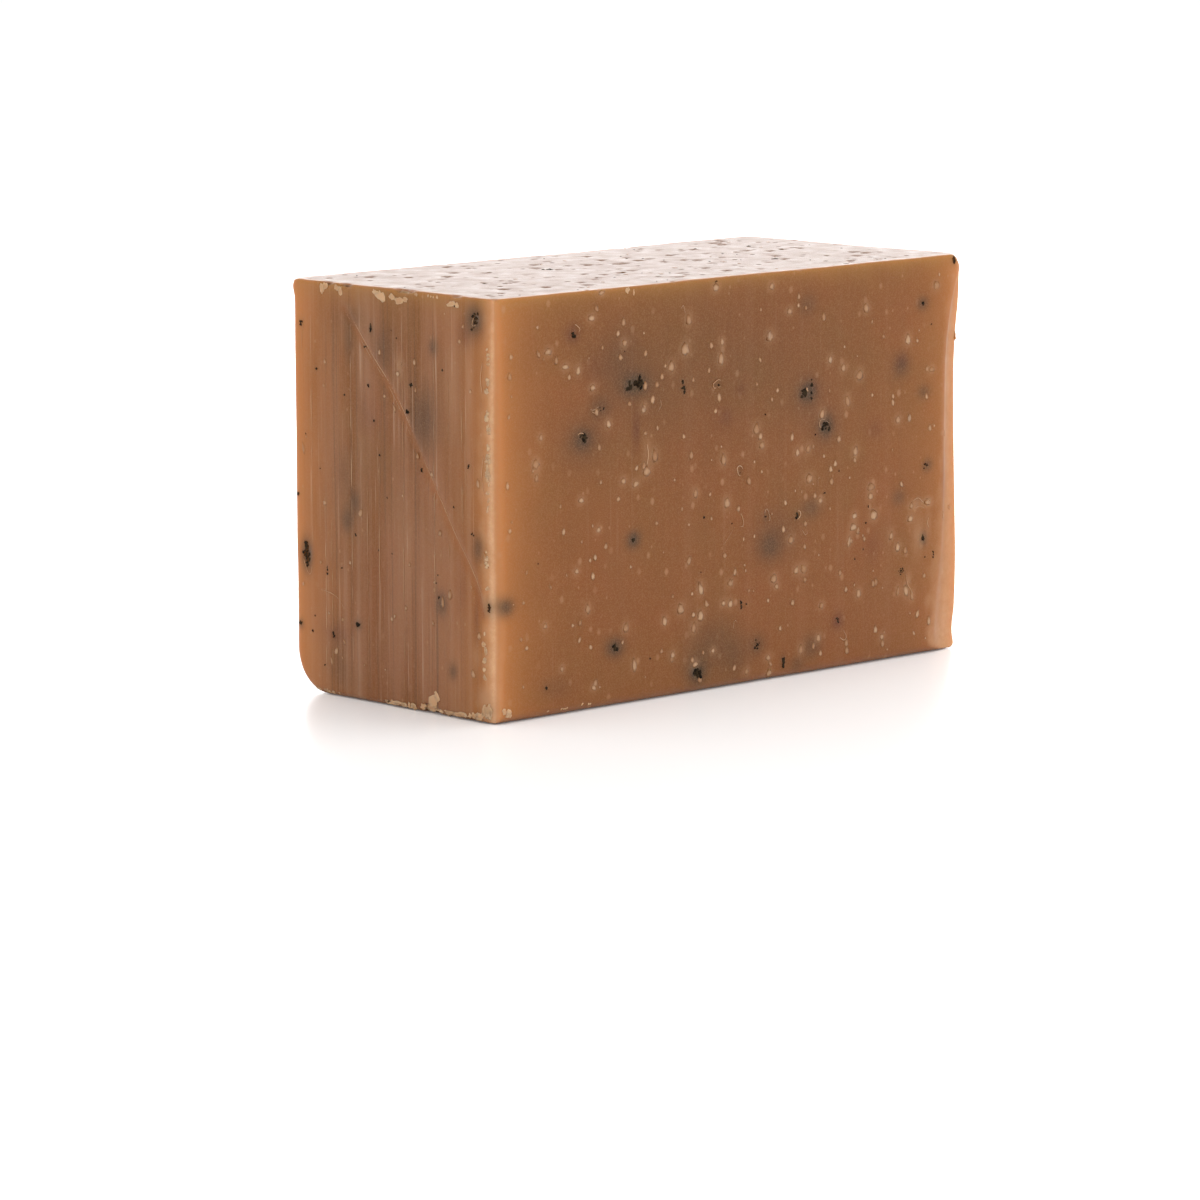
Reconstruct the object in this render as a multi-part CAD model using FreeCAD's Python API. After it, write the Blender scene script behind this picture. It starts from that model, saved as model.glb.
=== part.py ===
import FreeCAD, Part

import math
import os

# Bar of soap: one block, poured into a loaf mould with rounded corners, sliced with a wire
# and trimmed by hand with a knife. It is one solid piece with no core and no joints.
# Millimetres. The origin is the middle of the foot, +X runs along the long faces towards the
# right end, +Y towards the back long face, +Z up. The bar stands on a long narrow side.

# Block
BAR_LENGTH = 88.0
BAR_DEPTH = 40.0
BAR_HEIGHT = 55.5
END_SKEW = 1.7

# Rounded edges: the mould's corner is the back foot edge, handling softened the others
MOULD_RADIUS = 6.0
FOOT_RADIUS = 1.5
END_RADIUS = 1.0
TOP_EASE = 0.25

# Top corners worn down by handling: side of the bar along X and along Y, and what is gone
# from each of the three edges that meet there
WORN_CORNERS = ((-1, -1, 0.8), (1, -1, 1.7), (1, 1, 1.2), (-1, 1, 0.7))

# Upright front edges, trimmed with a knife. Each cut is a row of stations up the edge:
# share of the height, width taken off the end, width taken off the front long face. Each
# section is hollow, but never by more than a share of its width on the end.
NEAR_CUT = (
    (0.00, 1.4, 0.5),
    (0.22, 1.7, 1.2),
    (0.46, 2.0, 1.0),
    (0.60, 2.1, 0.9),
    (0.80, 1.6, 0.8),
    (1.00, 1.0, 0.4),
)
FAR_CUT = (
    (0.00, 0.7, 4.7),
    (0.03, 1.2, 5.1),
    (0.11, 0.9, 5.0),
    (0.25, 0.7, 4.0),
    (0.42, 1.0, 3.5),
    (0.60, 1.3, 3.4),
    (0.80, 1.1, 2.9),
    (0.89, 0.5, 1.9),
    (0.96, 0.1, 0.6),
)
NEAR_HOLLOW = 0.08
FAR_HOLLOW = 0.35
HOLLOW_SHARE = 0.5

# Chips along the edges: distance from the near front corner, length along the edge, depth
LEFT_TOP_CHIPS = ((7.6, 3.4, 0.45), (17.6, 5.6, 0.6), (29.0, 2.8, 0.6), (32.8, 3.0, 0.55))
LEFT_FOOT_CHIPS = (
    (5.2, 2.2, 0.7),
    (9.0, 3.8, 0.7),
    (13.2, 4.6, 1.3),
    (21.4, 3.6, 0.7),
    (34.2, 3.6, 0.6),
)
FRONT_TOP_CHIPS = ((19.0, 2.0, 0.3), (29.5, 1.6, 0.25), (56.0, 2.4, 0.3))
BACK_TOP_CHIPS = ((60.5, 3.6, 0.9), (27.0, 2.4, 0.4))

# Knife scratch on the left end: its two ends and its middle, as distances from the back long
# face and down from the top, and the round nose that ploughed it
SCRATCH_POINTS = ((10.7, 3.4), (24.2, 19.6), (37.4, 41.4))
SCRATCH_RADIUS = 0.9
SCRATCH_DEPTH = 0.15

# Burst air bubbles: an even scatter over the cut top, and single ones on the faces as distance
# from the near front edge, distance down from the top, mouth radius and depth
CRATER_COUNT = 30
CRATER_MARGIN = 2.6
CRATER_RADII = (0.55, 0.75, 0.95)
CRATER_DEPTH_RATIO = 0.3
LEFT_PITS = ((3.9, 3.0, 0.8, 0.3), (37.5, 37.0, 1.0, 0.25), (18.2, 9.9, 0.5, 0.15))
FRONT_PITS = (
    (24.9, 13.0, 1.1, 0.2),
    (40.2, 14.4, 0.6, 0.2),
    (44.7, 26.4, 0.6, 0.2),
    (49.6, 32.9, 0.6, 0.2),
    (60.8, 21.7, 0.9, 0.2),
    (36.3, 52.5, 0.9, 0.2),
    (79.9, 34.4, 1.2, 0.2),
    (77.9, 45.3, 0.8, 0.15),
)

# How far cutters reach past the bar, and how near an edge is to a face that it lies in
OVERCUT = 3.0
NEARLY = 0.1
GOLDEN_RATIO = (1 + math.sqrt(5)) / 2


def vector(x, y, z):
    return FreeCAD.Vector(x, y, z)


def prism(points, direction):
    """Extrudes a closed straight-sided outline along a direction."""
    outline = Part.makePolygon([*points, points[0]])
    return Part.Face(outline).extrude(direction)


def right_end(y):
    """How far along X the right end is, at this place across the bar."""
    return BAR_LENGTH / 2 - END_SKEW * (y + BAR_DEPTH / 2) / BAR_DEPTH


def loaf_slice():
    """The poured section, with its mould corner and soft foot edge, run along the bar."""
    start = -BAR_LENGTH / 2
    front = -BAR_DEPTH / 2
    back = BAR_DEPTH / 2
    corner = math.sqrt(0.5)

    def at(y, z):
        return vector(start, y, z)

    mould = at(back - MOULD_RADIUS * (1 - corner), MOULD_RADIUS * (1 - corner))
    foot = at(front + FOOT_RADIUS * (1 - corner), FOOT_RADIUS * (1 - corner))
    edges = [
        Part.LineSegment(at(front + FOOT_RADIUS, 0), at(back - MOULD_RADIUS, 0)),
        Part.Arc(at(back - MOULD_RADIUS, 0), mould, at(back, MOULD_RADIUS)),
        Part.LineSegment(at(back, MOULD_RADIUS), at(back, BAR_HEIGHT)),
        Part.LineSegment(at(back, BAR_HEIGHT), at(front, BAR_HEIGHT)),
        Part.LineSegment(at(front, BAR_HEIGHT), at(front, FOOT_RADIUS)),
        Part.Arc(at(front, FOOT_RADIUS), foot, at(front + FOOT_RADIUS, 0)),
    ]
    outline = Part.Wire([edge.toShape() for edge in edges])
    return Part.Face(outline).extrude(vector(BAR_LENGTH, 0, 0))


def sliced_ends(block):
    """Slices the right end a little out of square, so that the back long face is shorter."""
    front = -BAR_DEPTH / 2 - OVERCUT
    back = BAR_DEPTH / 2 + OVERCUT
    offcut = prism(
        [
            vector(right_end(front), front, -OVERCUT),
            vector(right_end(back), back, -OVERCUT),
            vector(BAR_LENGTH / 2 + OVERCUT, back, -OVERCUT),
        ],
        vector(0, 0, BAR_HEIGHT + 2 * OVERCUT),
    )
    return block.cut(offcut)


def on_end(edge):
    """Tells whether an edge lies in one of the two end faces."""
    middle = edge.valueAt((edge.FirstParameter + edge.LastParameter) / 2)
    return middle.x < -BAR_LENGTH / 2 + NEARLY or middle.x > right_end(middle.y) - NEARLY


def softened(block):
    """Rounds the edges of both ends, apart from the top ones, and then eases the whole top."""
    below_top = BAR_HEIGHT - NEARLY
    ends = [edge for edge in block.Edges if on_end(edge) and edge.BoundBox.ZMin < below_top]
    block = block.makeFillet(END_RADIUS, ends)
    top = [edge for edge in block.Edges if edge.BoundBox.ZMin > below_top]
    return block.makeChamfer(TOP_EASE, top)


def worn_corners():
    """Small pyramids with their points outside the bar, one for each worn top corner. The face
    that cuts is a triangle three times as large as the wear, so that it clears the corner."""
    offcuts = []
    for end, side, wear in WORN_CORNERS:
        y = side * BAR_DEPTH / 2
        x = right_end(y) if end > 0 else -BAR_LENGTH / 2
        corner = vector(x, y, BAR_HEIGHT)
        inward = [vector(-end * wear, 0, 0), vector(0, -side * wear, 0), vector(0, 0, -wear)]
        middle = (inward[0] + inward[1] + inward[2]) * (1 / 3)
        triangle = [corner + middle + (leg - middle) * 3 for leg in inward]
        offcuts.append(prism(triangle, vector(end, side, 1).normalize() * OVERCUT))
    return offcuts


def knife_cut(side, stations, hollow):
    """Lofts what the knife took off an upright front edge. side is -1 at the left end and 1 at
    the right. Each section is a corner outside the bar and an arc across the edge, which goes
    into the bar by the hollow at its middle."""
    sections = []
    for share, off_end, off_front in stations:
        height = share * BAR_HEIGHT
        if share == 0:
            height = -OVERCUT
        if share == 1:
            height = BAR_HEIGHT + OVERCUT
        end = side * BAR_LENGTH / 2
        front = -BAR_DEPTH / 2
        at_end = vector(end, front + off_end, height)
        at_front = vector(end - side * off_front, front, height)
        along = (at_front - at_end).normalize()
        inward = vector(-side * off_end, off_front, 0).normalize()
        middle = (at_end + at_front) * 0.5 + inward * min(hollow, HOLLOW_SHARE * off_end)
        first = at_end - along * OVERCUT
        last = at_front + along * OVERCUT
        outside = vector(end + side * OVERCUT, front - OVERCUT, height)
        sections.append(
            Part.Wire(
                [
                    Part.LineSegment(outside, first).toShape(),
                    Part.LineSegment(first, at_end).toShape(),
                    Part.Arc(at_end, middle, at_front).toShape(),
                    Part.LineSegment(at_front, last).toShape(),
                    Part.LineSegment(last, outside).toShape(),
                ]
            )
        )
    return Part.makeLoft(sections, True)


def scallop(middle, outward, length, depth):
    """A ball that bites a scallop of this length and depth, seen along the outward direction."""
    half = length / 2
    radius = (half * half + depth * depth) / (2 * depth)
    centre = middle + outward * (radius - depth)
    ball = Part.makeSphere(radius)
    ball.Placement = FreeCAD.Placement(centre, FreeCAD.Rotation(vector(1, 0, 0), outward))
    return ball


def edge_chips():
    """Small broken places along the top and foot edges."""
    left = -BAR_LENGTH / 2
    front = -BAR_DEPTH / 2
    top_left = vector(-1, 0, 1).normalize()
    foot_left = vector(-1, 0, -1).normalize()
    top_front = vector(0, -1, 1).normalize()
    top_back = vector(0, 1, 1).normalize()
    bites = []
    for along, length, depth in LEFT_TOP_CHIPS:
        bites.append(scallop(vector(left, front + along, BAR_HEIGHT), top_left, length, depth))
    for along, length, depth in LEFT_FOOT_CHIPS:
        bites.append(scallop(vector(left, front + along, 0), foot_left, length, depth))
    for along, length, depth in FRONT_TOP_CHIPS:
        bites.append(scallop(vector(left + along, front, BAR_HEIGHT), top_front, length, depth))
    for along, length, depth in BACK_TOP_CHIPS:
        bites.append(scallop(vector(left + along, -front, BAR_HEIGHT), top_back, length, depth))
    return bites


def scratch():
    """The round-nosed groove that a knife tip left across the left end."""
    height = SCRATCH_RADIUS - SCRATCH_DEPTH
    points = [
        vector(-BAR_LENGTH / 2 - height, BAR_DEPTH / 2 - inward, BAR_HEIGHT - down)
        for inward, down in SCRATCH_POINTS
    ]
    path = Part.Arc(*points)
    start = path.tangent(path.FirstParameter)[0]
    nose = Part.Circle(points[0], start, SCRATCH_RADIUS)
    return Part.Wire([path.toShape()]).makePipeShell([Part.Wire([nose.toShape()])], True, True)


def top_craters():
    """Bubbles burst by the wire, scattered evenly over the top in golden-ratio steps."""
    width = right_end(BAR_DEPTH / 2) + BAR_LENGTH / 2 - 2 * CRATER_MARGIN
    depth = BAR_DEPTH - 2 * CRATER_MARGIN
    bites = []
    for number in range(CRATER_COUNT):
        across = (number + 0.5) / CRATER_COUNT
        along = number * GOLDEN_RATIO % 1
        mouth = CRATER_RADII[number % len(CRATER_RADII)]
        place = vector(
            -BAR_LENGTH / 2 + CRATER_MARGIN + along * width,
            -BAR_DEPTH / 2 + CRATER_MARGIN + across * depth,
            BAR_HEIGHT,
        )
        bites.append(scallop(place, vector(0, 0, 1), 2 * mouth, mouth * CRATER_DEPTH_RATIO))
    return bites


def face_pits():
    """Single open bubbles on the left end and on the front long face."""
    left = -BAR_LENGTH / 2
    front = -BAR_DEPTH / 2
    bites = []
    for inward, down, mouth, depth in LEFT_PITS:
        place = vector(left, front + inward, BAR_HEIGHT - down)
        bites.append(scallop(place, vector(-1, 0, 0), 2 * mouth, depth))
    for along, down, mouth, depth in FRONT_PITS:
        place = vector(left + along, front, BAR_HEIGHT - down)
        bites.append(scallop(place, vector(0, -1, 0), 2 * mouth, depth))
    return bites


def soap_bar():
    """The whole bar as one solid."""
    block = softened(sliced_ends(loaf_slice()))
    block = block.cut(knife_cut(-1, NEAR_CUT, NEAR_HOLLOW))
    block = block.cut(knife_cut(1, FAR_CUT, FAR_HOLLOW))
    block = block.cut(worn_corners())
    block = block.cut(scratch())
    block = block.cut(edge_chips() + top_craters() + face_pits())
    return block.removeSplitter()


def main():
    os.makedirs("parts", exist_ok=True)
    bar = soap_bar()
    print("solids", len(bar.Solids), "valid", bar.isValid(), "volume", round(bar.Volume), "mm3")
    bar.exportStep("parts/soap_bar.step")


main()
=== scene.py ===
import logging
import math
from dataclasses import dataclass
from enum import Enum

import bpy
import numpy as np
from mathutils import Matrix, Vector


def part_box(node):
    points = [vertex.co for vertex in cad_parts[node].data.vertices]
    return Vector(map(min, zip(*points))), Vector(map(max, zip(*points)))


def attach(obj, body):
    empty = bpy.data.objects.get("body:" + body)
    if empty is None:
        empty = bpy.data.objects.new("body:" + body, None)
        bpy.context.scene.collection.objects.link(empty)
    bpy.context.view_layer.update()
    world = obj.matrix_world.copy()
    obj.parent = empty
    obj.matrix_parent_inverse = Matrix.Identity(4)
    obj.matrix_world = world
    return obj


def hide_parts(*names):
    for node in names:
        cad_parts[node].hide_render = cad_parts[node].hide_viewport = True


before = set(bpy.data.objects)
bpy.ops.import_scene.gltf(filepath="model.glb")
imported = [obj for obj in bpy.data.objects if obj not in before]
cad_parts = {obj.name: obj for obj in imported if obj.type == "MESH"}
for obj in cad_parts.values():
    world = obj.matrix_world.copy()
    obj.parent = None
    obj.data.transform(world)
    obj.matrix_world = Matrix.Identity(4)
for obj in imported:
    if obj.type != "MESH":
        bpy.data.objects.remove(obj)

# A bar of translucent soap, cast, sliced and trimmed by hand. Sizes are millimetres unless a
# name says otherwise; MM turns them into Blender's metres when a mesh is written.

MM = 0.001
ROOT = "root"
BLOCK = "soap_bar"
WHITE = (1.0, 1.0, 1.0, 1.0)

log = logging.getLogger("soap")

Array = np.ndarray
Colour = tuple[float, float, float]
NodeSocket = bpy.types.NodeSocket


class Side(Enum):
    """A face of the bar, as the axis that it looks along and the sign of that direction."""

    LEFT = (0, -1)
    RIGHT = (0, 1)
    FRONT = (1, -1)
    BACK = (1, 1)
    FOOT = (2, -1)
    TOP = (2, 1)

    def outward(self) -> Array:
        """Gives the direction that the side looks along, as one row."""
        axis, sign = self.value
        return sign * np.eye(3)[[axis]]


def on(side: Side, *rows: tuple[float, ...]) -> tuple:
    """Puts a side in front of each row of numbers."""
    return tuple((side, *row) for row in rows)


# Numbers on arrays


def cad_box() -> tuple[Array, Array]:
    """Gives the lowest and highest corner of the modelled block.

    Returns:
        Two corners, in millimetres.
    """
    low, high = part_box(BLOCK)
    return np.array(low) / MM, np.array(high) / MM


def unit(vectors: Array) -> Array:
    """Scales each row to length one.

    Args:
        vectors: rows of three numbers.

    Returns:
        The rows over their lengths.
    """
    return vectors / np.maximum(np.linalg.norm(vectors, axis=-1, keepdims=True), 1e-12)


def smoothstep(edge0: float, edge1: float, x: Array) -> Array:
    """Eases from 0 at edge0 to 1 at edge1 by 3t^2 - 2t^3.

    Args:
        edge0: where the ramp starts.
        edge1: where the ramp ends.
        x: values.

    Returns:
        The eased ramp for each value.
    """
    t = np.clip((x - edge0) / (edge1 - edge0), 0, 1)
    return t * t * (3 - 2 * t)


def smooth_max(a: Array, b: Array, width: float) -> Array:
    """Takes the larger of two distances, with a round of about this width where they cross.

    Args:
        a: one distance.
        b: the other.
        width: how near the two are where the round starts.

    Returns:
        The larger, plus a quarter of the width where they are equal.
    """
    h = np.maximum(width - np.abs(a - b), 0) / width
    return np.maximum(a, b) + h * h * width / 4


def waves(points: Array, wavelength: float, seed: int, terms: int = 12) -> Array:
    """Adds plane sine waves of random direction and phase into a smooth noise from -1 to 1.

    Args:
        points: rows of three coordinates.
        wavelength: the typical length of one wave.
        seed: chooses the directions and phases.
        terms: how many waves are added.

    Returns:
        One value for each point.
    """
    rng = np.random.default_rng(seed)
    direction = unit(rng.normal(size=(terms, 3)))
    pitch = 2 * math.pi / (wavelength * rng.uniform(0.7, 1.4, terms))
    phase = rng.uniform(0, 2 * math.pi, terms)
    total = np.sin(points @ (direction * pitch[:, None]).T + phase).sum(axis=1)
    return np.clip(total / math.sqrt(terms) / 1.6, -1, 1)


def hermite(x: Array, y: Array, at: Array) -> Array:
    """Interpolates with cubic Hermite pieces whose slopes are the mean of the two beside.

    Args:
        x: rising positions.
        y: values there, one or a row of them for each position.
        at: positions to read.

    Returns:
        The value or row at each position.
    """
    slope = np.gradient(y, x, axis=0)
    k = np.clip(np.searchsorted(x, at) - 1, 0, len(x) - 2)
    h = x[k + 1] - x[k]
    t = (at - x[k]) / h
    if y.ndim > 1:
        h = h[:, None]
        t = t[:, None]
    return (
        y[k] * (1 + 2 * t) * (1 - t) ** 2
        + h * slope[k] * t * (1 - t) ** 2
        + y[k + 1] * t * t * (3 - 2 * t)
        + h * slope[k + 1] * t * t * (t - 1)
    )


def walked(knots: Array) -> Array:
    """Gives how far along a path each of its knots is."""
    gaps = np.linalg.norm(np.diff(knots, axis=0), axis=1)
    return np.concatenate([[0], np.cumsum(gaps)])


def graded(cells: int, inset: float = 0.35) -> Array:
    """Spaces cell borders from -1 to 1, closer together towards both ends.

    The spacing is a blend of an even run and a sine of it.

    Args:
        cells: how many cells there are.
        inset: the share of the sine.

    Returns:
        The borders.
    """
    even = np.linspace(-1, 1, cells + 1)
    return (1 - inset) * even + inset * np.sin(even * math.pi / 2)


# Meshes


def write_mesh(name: str, points: Array, faces: list[Array], layers: dict[str, Array]) -> bpy.types.Object:
    """Makes a mesh object from points in millimetres.

    Args:
        name: the piece's name.
        points: rows of three coordinates.
        faces: arrays of vertex numbers, one row a face, each array with its own corner count.
        layers: one value a point for each named attribute.

    Returns:
        The object, at the origin, shaded smooth.
    """
    mesh = bpy.data.meshes.new(name)
    corners = np.concatenate([f.ravel() for f in faces]).astype(np.int32)
    sizes = np.concatenate([np.full(len(f), f.shape[1]) for f in faces])
    starts = np.concatenate([[0], np.cumsum(sizes)[:-1]]).astype(np.int32)
    mesh.vertices.add(len(points))
    mesh.vertices.foreach_set("co", (points * MM).astype(np.float32).ravel())
    mesh.loops.add(len(corners))
    mesh.loops.foreach_set("vertex_index", corners)
    mesh.polygons.add(len(sizes))
    mesh.polygons.foreach_set("loop_start", starts)
    mesh.update(calc_edges=True)
    mesh.validate()
    for layer, values in layers.items():
        attribute = mesh.attributes.new(layer, "FLOAT", "POINT")
        attribute.data.foreach_set("value", values.astype(np.float32))
    mesh.polygons.foreach_set("use_smooth", np.ones(len(mesh.polygons), bool))
    made = bpy.data.objects.new(name, mesh)
    bpy.context.scene.collection.objects.link(made)
    return made


def lump(sides: int, rings: int, taper: float) -> tuple[Array, list[Array]]:
    """Gives a drop of unit size, wider below than above.

    A point at angle a from the upper pole has the height cos a and the width sin a times
    1 - taper * cos a, and the sides are spread evenly round it.

    Args:
        sides: points round the drop.
        rings: rows of points between the poles.
        taper: how much narrower the upper half is.

    Returns:
        Points as (right, up, out), and the triangles and quads, wound to face outwards.
    """
    polar = np.linspace(0, math.pi, rings + 2)[1:-1, None]
    turn = np.arange(sides) * 2 * math.pi / sides
    width = np.sin(polar) * (1 - taper * np.cos(polar))
    ring = np.stack([width * np.cos(turn), np.cos(polar) + 0 * turn, -width * np.sin(turn)], axis=-1)
    points = np.concatenate([ring.reshape(-1, 3), [[0, 1, 0], [0, -1, 0]]])
    return points, rings_to_faces(rings, sides)


def rings_to_faces(rings: int, sides: int) -> list[Array]:
    """Joins rows of points into a closed skin, with a pole point after the last row at each end.

    Args:
        rings: how many rows there are.
        sides: points in a row.

    Returns:
        The triangles at both poles and the quads between the rows.
    """
    here = np.arange(sides)
    after = (here + 1) % sides
    first, last = rings * sides, rings * sides + 1
    foot = (rings - 1) * sides
    caps = np.concatenate(
        [
            np.stack([np.full(sides, first), here, after], axis=1),
            np.stack([np.full(sides, last), foot + after, foot + here], axis=1),
        ]
    )
    row = np.arange(rings - 1)[:, None] * sides
    quads = np.stack([row + here, row + sides + here, row + sides + after, row + after], axis=-1)
    return [caps, quads.reshape(-1, 4)]


# The bar's form


@dataclass(frozen=True)
class Cut:
    """What the knife took off one upright front edge.

    side is -1 at the left end and 1 at the right. Each station is a share of the height, the
    width taken off the end and the width taken off the front long face. ease is how far the
    cut's borders are rubbed round. flank is how pale it is at the end face, ridge_highlight is a
    painted highlight along its middle, and fade is how deep that paleness goes into the soap beside it.
    """

    side: int
    stations: tuple[tuple[float, float, float], ...]
    hollow: float
    ease: float
    flank: float
    # The painted highlight along the cut's middle
    ridge_highlight: float
    fade: float

    def distance(self, points: Array, form: "Form") -> tuple[Array, Array]:
        """Measures how far each point stands outside the cut surface, and how far over it is.

        At each height the surface is a line across the corner, pushed inward by a parabola that
        is deepest halfway over.

        Args:
            points: rows of three coordinates.
            form: the bar that the cut is on.

        Returns:
            Distances, positive in what was taken off and negative in the soap, and shares of the
            way over the cut, 0 at the end face and 1 at the long face.
        """
        share, off_end, off_front = np.array(self.stations).T
        level = np.clip(points[:, 2] / form.height, share[0], share[-1])
        end_width = hermite(share, off_end, level)
        front_width = hermite(share, off_front, level)
        across = self.side * points[:, 0] - form.length / 2
        deep = points[:, 1] + form.depth / 2
        span = np.hypot(end_width, front_width)
        outward = (across * end_width - (deep - end_width) * front_width) / span
        along = -(across * front_width + (deep - end_width) * end_width) / span
        over = np.clip(along / span, 0, 1)
        return outward + self.hollow * 4 * over * (1 - over), over


@dataclass(frozen=True)
class Bites:
    """Balls that take shallow scallops out of the surface."""

    centres: Array
    radii: Array

    @classmethod
    def at(cls, middles: Array, outward: Array, lengths: Array, depths: Array) -> "Bites":
        """Finds the balls whose scallops have these lengths and depths.

        Args:
            middles: where each scallop is, on the surface before it.
            outward: the direction that each one opens to.
            lengths: the scallops' lengths.
            depths: and their depths.

        Returns:
            The balls.
        """
        half = np.asarray(lengths) / 2
        depths = np.asarray(depths)
        radii = (half * half + depths * depths) / (2 * depths)
        return cls(middles + unit(outward) * (radii - depths)[:, None], radii)

    def depth(self, points: Array, normals: Array, size: Array) -> Array:
        """Measures how far each point has to go inward to be out of every ball.

        A point p with normal n leaves a ball at t = b + sqrt(b^2 - q^2 + r^2), where q is p
        less the ball's middle and b is the part of q along n.

        Args:
            points: rows of three coordinates.
            normals: their outward directions.
            size: what the balls' radii are taken times at each point.

        Returns:
            The depth at each point, 0 outside the balls.
        """
        deepest = np.zeros(len(points))
        for centre, radius in zip(self.centres, self.radii):
            q = points - centre
            b = (q * normals).sum(axis=1)
            room = (radius * size) ** 2 - (q * q).sum(axis=1)
            inside = room > 0
            reach = np.where(inside, b + np.sqrt(np.maximum(b * b + room, 0)), 0)
            deepest = np.maximum(deepest, reach)
        return deepest


def on_ends(normals: Array) -> Array:
    """Gives how squarely each normal looks along the bar, as the fourth power of its part there."""
    return np.abs(normals[:, 0]) ** 4


def on_uprights(normals: Array) -> Array:
    """Gives 1 where a normal is level, falling to 0 where it looks up or down."""
    return 1 - np.clip(np.abs(normals[:, 2]), 0, 1) ** 2


@dataclass(frozen=True)
class Form:
    """The bar's shape: a poured section run along X, sliced, pared, chipped and scratched."""

    length: float
    depth: float
    height: float
    skew: float = 1.7
    mould_radius: float = 6.0
    foot_radius: float = 1.5
    end_radius: float = 1.0
    top_radius: float = 0.25
    corner_round: float = 0.6
    near_cut: Cut = Cut(
        -1,
        (
            (0.0, 1.4, 0.5), (0.22, 1.7, 1.2), (0.46, 2.0, 1.0),
            (0.6, 2.1, 0.9), (0.8, 1.6, 0.8), (1.0, 1.0, 0.4),
        ),
        hollow=0.08,
        ease=0.8,
        flank=0.26,
        ridge_highlight=0.8,
        fade=0.8,
    )
    far_cut: Cut = Cut(
        1,
        (
            (0.0, 0.7, 4.7), (0.03, 1.2, 5.1), (0.11, 0.9, 5.0), (0.25, 0.7, 4.0), (0.42, 1.0, 3.5),
            (0.6, 1.3, 3.4), (0.8, 1.1, 2.9), (0.89, 0.5, 1.9), (0.96, 0.1, 0.6),
        ),
        hollow=0.35,
        ease=0.3,
        flank=0.3,
        ridge_highlight=0.12,
        fade=0.45,
    )
    # Side along X and along Y of each worn top corner, and what is gone from each of its edges
    worn_corners: tuple = ((-1, -1, 0.8), (1, -1, 1.7), (1, 1, 1.2), (-1, 1, 0.7))
    # Distance from the near front corner, length along the edge, depth
    left_top_chips: tuple = ((7.6, 3.4, 0.45), (17.6, 5.6, 0.6), (29.0, 2.8, 0.6), (32.8, 3.0, 0.55))
    left_foot_chips: tuple = (
        (5.2, 2.2, 0.7), (9.0, 3.8, 0.7), (13.2, 4.6, 1.3), (21.4, 3.6, 0.7), (34.2, 3.6, 0.6),
    )
    front_top_chips: tuple = ((19.0, 2.0, 0.3), (29.5, 1.6, 0.25), (56.0, 2.4, 0.3))
    back_top_chips: tuple = ((60.5, 3.6, 0.9), (27.0, 2.4, 0.4))
    # Across, up, mouth radius, depth
    left_pits: tuple = ((-16.1, 52.5, 0.8, 0.3), (17.5, 18.5, 1.0, 0.25), (-1.8, 45.6, 0.5, 0.15))
    front_pits: tuple = (
        (-19.1, 42.5, 1.1, 0.2), (-3.8, 41.1, 0.6, 0.2), (0.7, 29.1, 0.6, 0.2), (5.6, 22.6, 0.6, 0.2),
        (16.8, 33.8, 0.9, 0.2), (-7.7, 3.0, 0.9, 0.2), (35.9, 21.1, 1.2, 0.2), (33.9, 10.2, 0.8, 0.15),
    )
    # How much the bites' size swings, and over what length
    ragged: float = 0.012
    ragged_length: float = 1.3
    crater_count: int = 30
    crater_margin: float = 2.6
    crater_radii: tuple = (0.55, 0.75, 0.95)
    crater_depth_ratio: float = 0.3
    small_craters: int = 70
    small_crater_radii: tuple = (0.4, 0.85)
    small_crater_depth_ratio: float = 0.5
    crater_seed: int = 17
    # The scratch across the left end, as across and up
    scratch_path: tuple = (
        (9.3, 52.1), (4.6, 46.8), (-0.5, 41.4), (-4.2, 35.9), (-11.4, 25.0), (-17.0, 16.1), (-17.4, 14.1),
    )
    scratch_step: float = 0.2
    scratch_half_width: float = 0.65
    scratch_depth: float = 0.16
    # Wavelength, height and seed of each slow unevenness, over a skim that keeps the depth above 0
    hand_waves: tuple = ((17.0, 0.05, 2), (6.0, 0.018, 3))
    skim: float = 0.07
    least_depth: float = 0.004
    # The wire's lines on the ends: how far apart, how deep, and Z's share in their noise
    line_pitch: float = 1.6
    line_depth: float = 0.022
    line_stretch: float = 0.02
    # The light in the soap: how deep it reaches, how unevenly, and how much more is at the back
    glow_reach: float = 4.0
    glow_swing: float = 0.12
    glow_length: float = 9.0
    back_glow: float = 1.2
    back_from: float = 15.0
    top_glow: float = 0.12
    top_glow_reach: float = 3.5

    @classmethod
    def from_frame(cls) -> "Form":
        """Takes the bar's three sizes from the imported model."""
        low, high = cad_box()
        size = high - low
        return cls(*(round(float(side), 1) for side in size))

    def section(self, y: Array, z: Array) -> Array:
        """Measures the distance to the poured section, a rectangle with four corner radii.

        Args:
            y: places across the bar.
            z: heights.

        Returns:
            The distances, negative inside.
        """
        half_y, half_z = self.depth / 2, self.height / 2
        up = z - half_z
        low_radius = np.where(y > 0, self.mould_radius, self.foot_radius)
        radius = np.where(up > 0, self.top_radius, low_radius)
        over_y = np.abs(y) - half_y + radius
        over_z = np.abs(up) - half_z + radius
        outside = np.hypot(np.maximum(over_y, 0), np.maximum(over_z, 0))
        return outside + np.minimum(np.maximum(over_y, over_z), 0) - radius

    def right_end(self, y: Array) -> Array:
        """Gives the X of the right end, which is sliced a little out of square."""
        return self.length / 2 - self.skew * (y + self.depth / 2) / self.depth

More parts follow.
